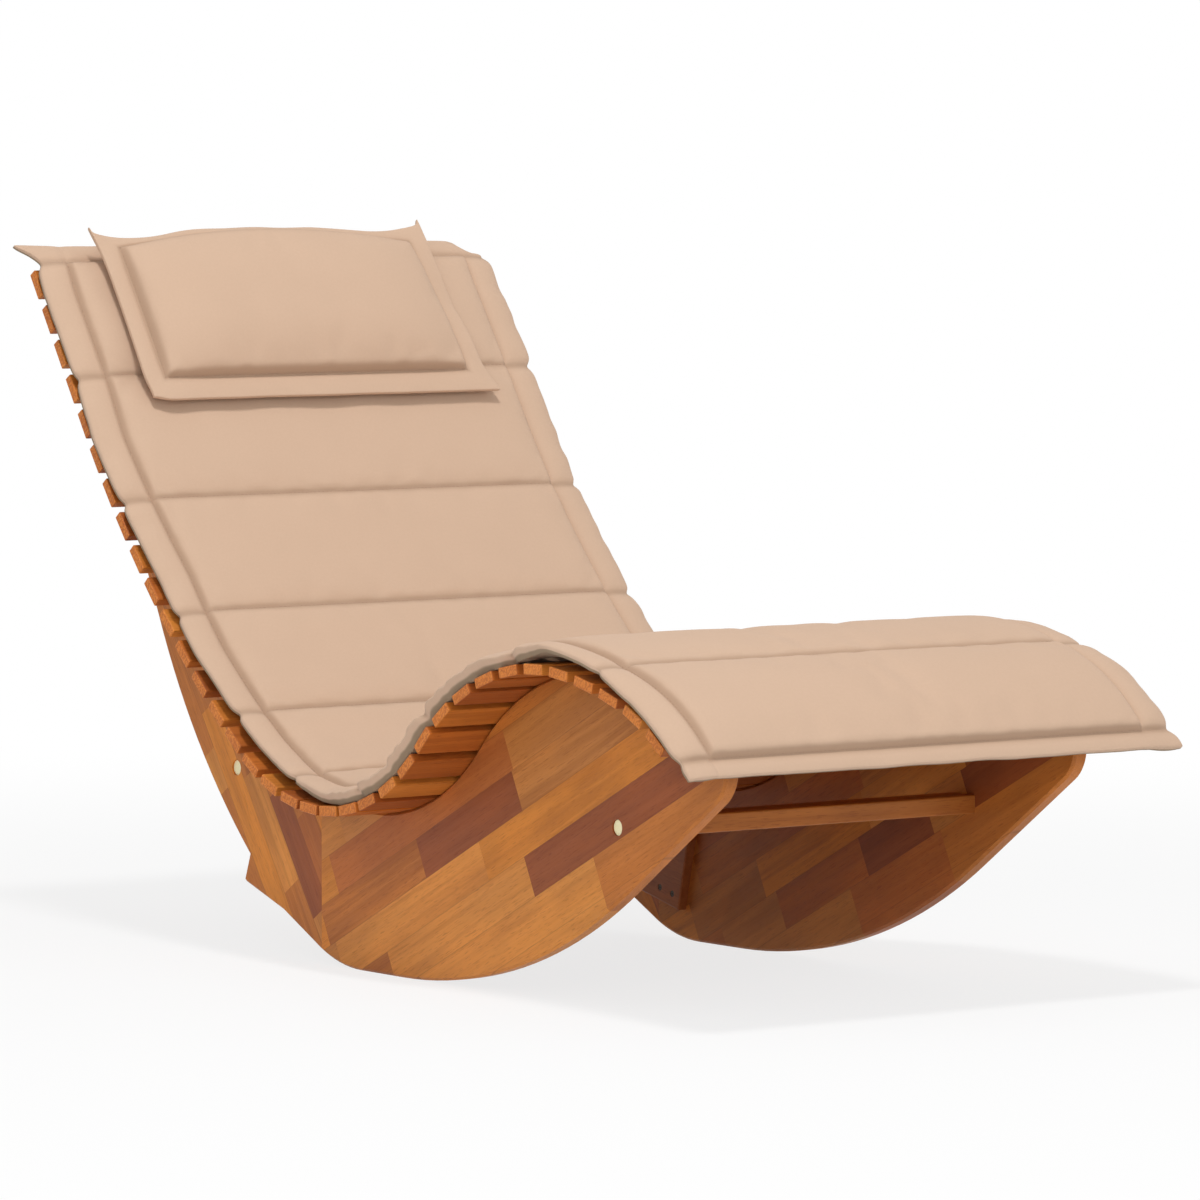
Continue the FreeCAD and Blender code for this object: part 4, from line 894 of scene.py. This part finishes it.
# The filling bows the upper edge out, and the flange behind it drops back out of sight.
PILLOW_TAPER, SIDE_WAIST, UPPER_BOW = 0.028, 0.003, 0.038
SIDE_OUT, END_OUT, SIDE_UP, END_UP = 0.0016, 0.002, 0.0028, 0.0024
FLANGE_FOLD, FLANGE_DROP = 0.031, 0.0075
FLANGE_PUFF, RIM_GROOVE = 0.0014, 0.001
BELLY_AT_FOOT, BELLY_GAIN = 0.82, 0.18
pillow_x = PILLOW_NEAR + breadth - PILLOW_TAPER * height_share * breadth / PILLOW_WIDTH
side_bow = SIDE_OUT * side_wave - SIDE_WAIST * np.sin(height_share * math.pi)
pillow_x = pillow_x + side_sign * at_side * side_bow
pillow_rise = rise + end_sign * at_end * END_OUT * end_wave + UPPER_BOW * waist * height_share ** 2.5
top_end = at_end * ~foot_end
pillow_rise = pillow_rise - FLANGE_FOLD * top_end * waist ** 0.33
wobble = (at_side * SIDE_UP * side_wave + at_end * END_UP * end_wave
          - FLANGE_DROP * top_end * waist ** 0.4)

# Each corner: its place across and up, how far it is drawn out sideways and lengthways, its
# curl and its spread.
PILLOW_CORNERS = ((0.0, PILLOW_HEIGHT, 0.008, 0.005, 0.004, 0.026),
                  (PILLOW_WIDTH, PILLOW_HEIGHT, 0.002, 0.011, 0.003, 0.05),
                  (0.0, 0.0, -0.006, -0.005, -0.001, 0.018),
                  (PILLOW_WIDTH, 0.0, 0.006, 0.001, 0.001, 0.03))
PILLOW_CORNER_SPREAD = 0.024
for edge, tip, reach, stretch, curl, spread in PILLOW_CORNERS:
    corner = dip(breadth - edge, spread) * dip(rise - tip, PILLOW_CORNER_SPREAD)
    pillow_x = pillow_x + (-1 if edge == 0 else 1) * reach * corner
    pillow_rise = pillow_rise + (-1 if tip == 0 else 1) * stretch * corner
    wobble = wobble + curl * corner
flange_puff = FLANGE_PUFF * np.sin(np.clip(from_rim / PILLOW_FLANGE, 0, 1) * math.pi)
top_height = (PILLOW_EDGE_TOP + flange_puff + (PILLOW_CROWN - PILLOW_EDGE_TOP) * plump
              - RIM_GROOVE * stitch_line + wobble)
belly_share = BELLY_AT_FOOT + BELLY_GAIN * height_share
low_height = wobble - PILLOW_BELLY * np.clip(plump * 1.15, 0, 1) * belly_share
pillow_top = on_head(PILLOW_FOOT - pillow_rise, pillow_x, PILLOW_REST + top_height)
pillow_bottom = on_head(PILLOW_FOOT - pillow_rise, pillow_x, PILLOW_REST + low_height)
pillow_flat = np.stack([breadth, rise], -1)
# The pillow's stitch lines take the painted seam shade and dirt. It has no painted underside shade.
pillow = closed_cloth("pillow_cover", pillow_top, pillow_bottom, pillow_flat, stitch_line, 0.0)
PILLOW_SWELL = 0.004
swell(pillow, np.where(from_rim > PILLOW_FLANGE, stitch_line, 1.0), PILLOW_SWELL)
pillow_points = soften(pillow)
pillow.data.materials.append(beige_cloth)
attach(pillow, "pillow")
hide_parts("pillow")

pillow_stitches = sew("pillow_stitches",
                      grid_lines(pillow_points, pillow_rows, pillow_columns,
                                 [PILLOW_FLANGE, PILLOW_HEIGHT - PILLOW_FLANGE],
                                 [PILLOW_FLANGE, PILLOW_WIDTH - PILLOW_FLANGE],
                                 raise_by=(0.0, -0.0002, 0.0001)))
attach(pillow_stitches, "pillow")


# Floor, light and camera
# A plain pale floor under soft light from above, seen from the photograph's
# viewing angle.

FLOOR_SIZE = 60.0
floor_mesh = bpy.data.meshes.new("floor")
half = FLOOR_SIZE / 2
floor_corners = [(-half, -half, 0), (half, -half, 0), (half, half, 0), (-half, half, 0)]
floor_mesh.from_pydata(floor_corners, [], [(0, 1, 2, 3)])
floor = bpy.data.objects.new("floor", floor_mesh)
bpy.context.scene.collection.objects.link(floor)
floor_material = bpy.data.materials.new("pale_floor")
floor_material.use_nodes = True
floor_tree = floor_material.node_tree
floor_tree.nodes.clear()


def seen_rays(tree):
    """One for rays that come from the eye, straight or by a mirror or glass."""
    rays = put(tree, "ShaderNodeLightPath").outputs
    mirrored = calc(tree, "MAXIMUM", rays["Is Glossy Ray"], rays["Is Transmission Ray"])
    return calc(tree, "MAXIMUM", rays["Is Camera Ray"], mirrored)


matt = put(floor_tree, "ShaderNodeBsdfDiffuse", {"Color": (0.86, 0.86, 0.86, 1.0)})
glow = put(floor_tree, "ShaderNodeEmission", {"Color": (1.0, 1.0, 1.0, 1.0), "Strength": 1.0})
floor_place = put(floor_tree, "ShaderNodeTexCoord").outputs["Object"]
away = put(floor_tree, "ShaderNodeVectorMath", {0: floor_place}, operation="LENGTH").outputs["Value"]
fading = between(floor_tree, away, 0.9, 3.0, 0.78, 1.0)
whiteness = calc(floor_tree, "MULTIPLY", seen_rays(floor_tree), fading)
mixed = put(floor_tree, "ShaderNodeMixShader", {0: whiteness, 1: matt.outputs[0], 2: glow.outputs[0]})
put(floor_tree, "ShaderNodeOutputMaterial", {0: mixed.outputs[0]})
floor_mesh.materials.append(floor_material)

world = bpy.data.worlds.new("studio")
bpy.context.scene.world = world
world.use_nodes = True
world_tree = world.node_tree
world_tree.nodes.clear()
soft_sky = put(world_tree, "ShaderNodeBackground", {"Color": (1.0, 1.0, 1.0, 1.0), "Strength": 0.5})
white = put(world_tree, "ShaderNodeBackground", {"Color": (1.0, 1.0, 1.0, 1.0), "Strength": 1.0})
sky = put(world_tree, "ShaderNodeMixShader",
          {0: seen_rays(world_tree), 1: soft_sky.outputs[0], 2: white.outputs[0]})
put(world_tree, "ShaderNodeOutputWorld", {0: sky.outputs[0]})

# Each soft lamp's place, width and power; all face the lounger's middle.
LAMP_AIM = Vector((0, 0, 0.4))
LAMPS = [
    ("key", (-1.2, -1.4, 5.0), 0.7, 122.0),
    ("fill", (-4.2, -5.2, 1.9), 3.0, 86.0),
    ("side", (4.0, -3.0, 2.6), 3.0, 25.0),
]
for name, where, width, power in LAMPS:
    light = bpy.data.lights.new(name, "AREA")
    light.size = width
    light.energy = power
    lamp = bpy.data.objects.new(name, light)
    lamp.location = where
    lamp.rotation_mode = "QUATERNION"
    lamp.rotation_quaternion = (LAMP_AIM - Vector(where)).to_track_quat("-Z", "Y")
    bpy.context.scene.collection.objects.link(lamp)

# The camera stands where the photograph's perspective says; its back points away from the
# lounger.
CAMERA_PLACE = (-5.2647, -7.3137, 1.0615)
CAMERA_BACK = (-0.58638, -0.80708, 0.06918)
lens = bpy.data.cameras.new("camera")
lens.lens = 225.0
lens.sensor_width = 36.0
lens.clip_end = 200.0
camera = bpy.data.objects.new("camera", lens)
camera.location = CAMERA_PLACE
camera.rotation_mode = "QUATERNION"
camera.rotation_quaternion = (-Vector(CAMERA_BACK)).to_track_quat("-Z", "Y")
bpy.context.scene.collection.objects.link(camera)
bpy.context.scene.camera = camera
bpy.context.scene.view_settings.view_transform = "Standard"
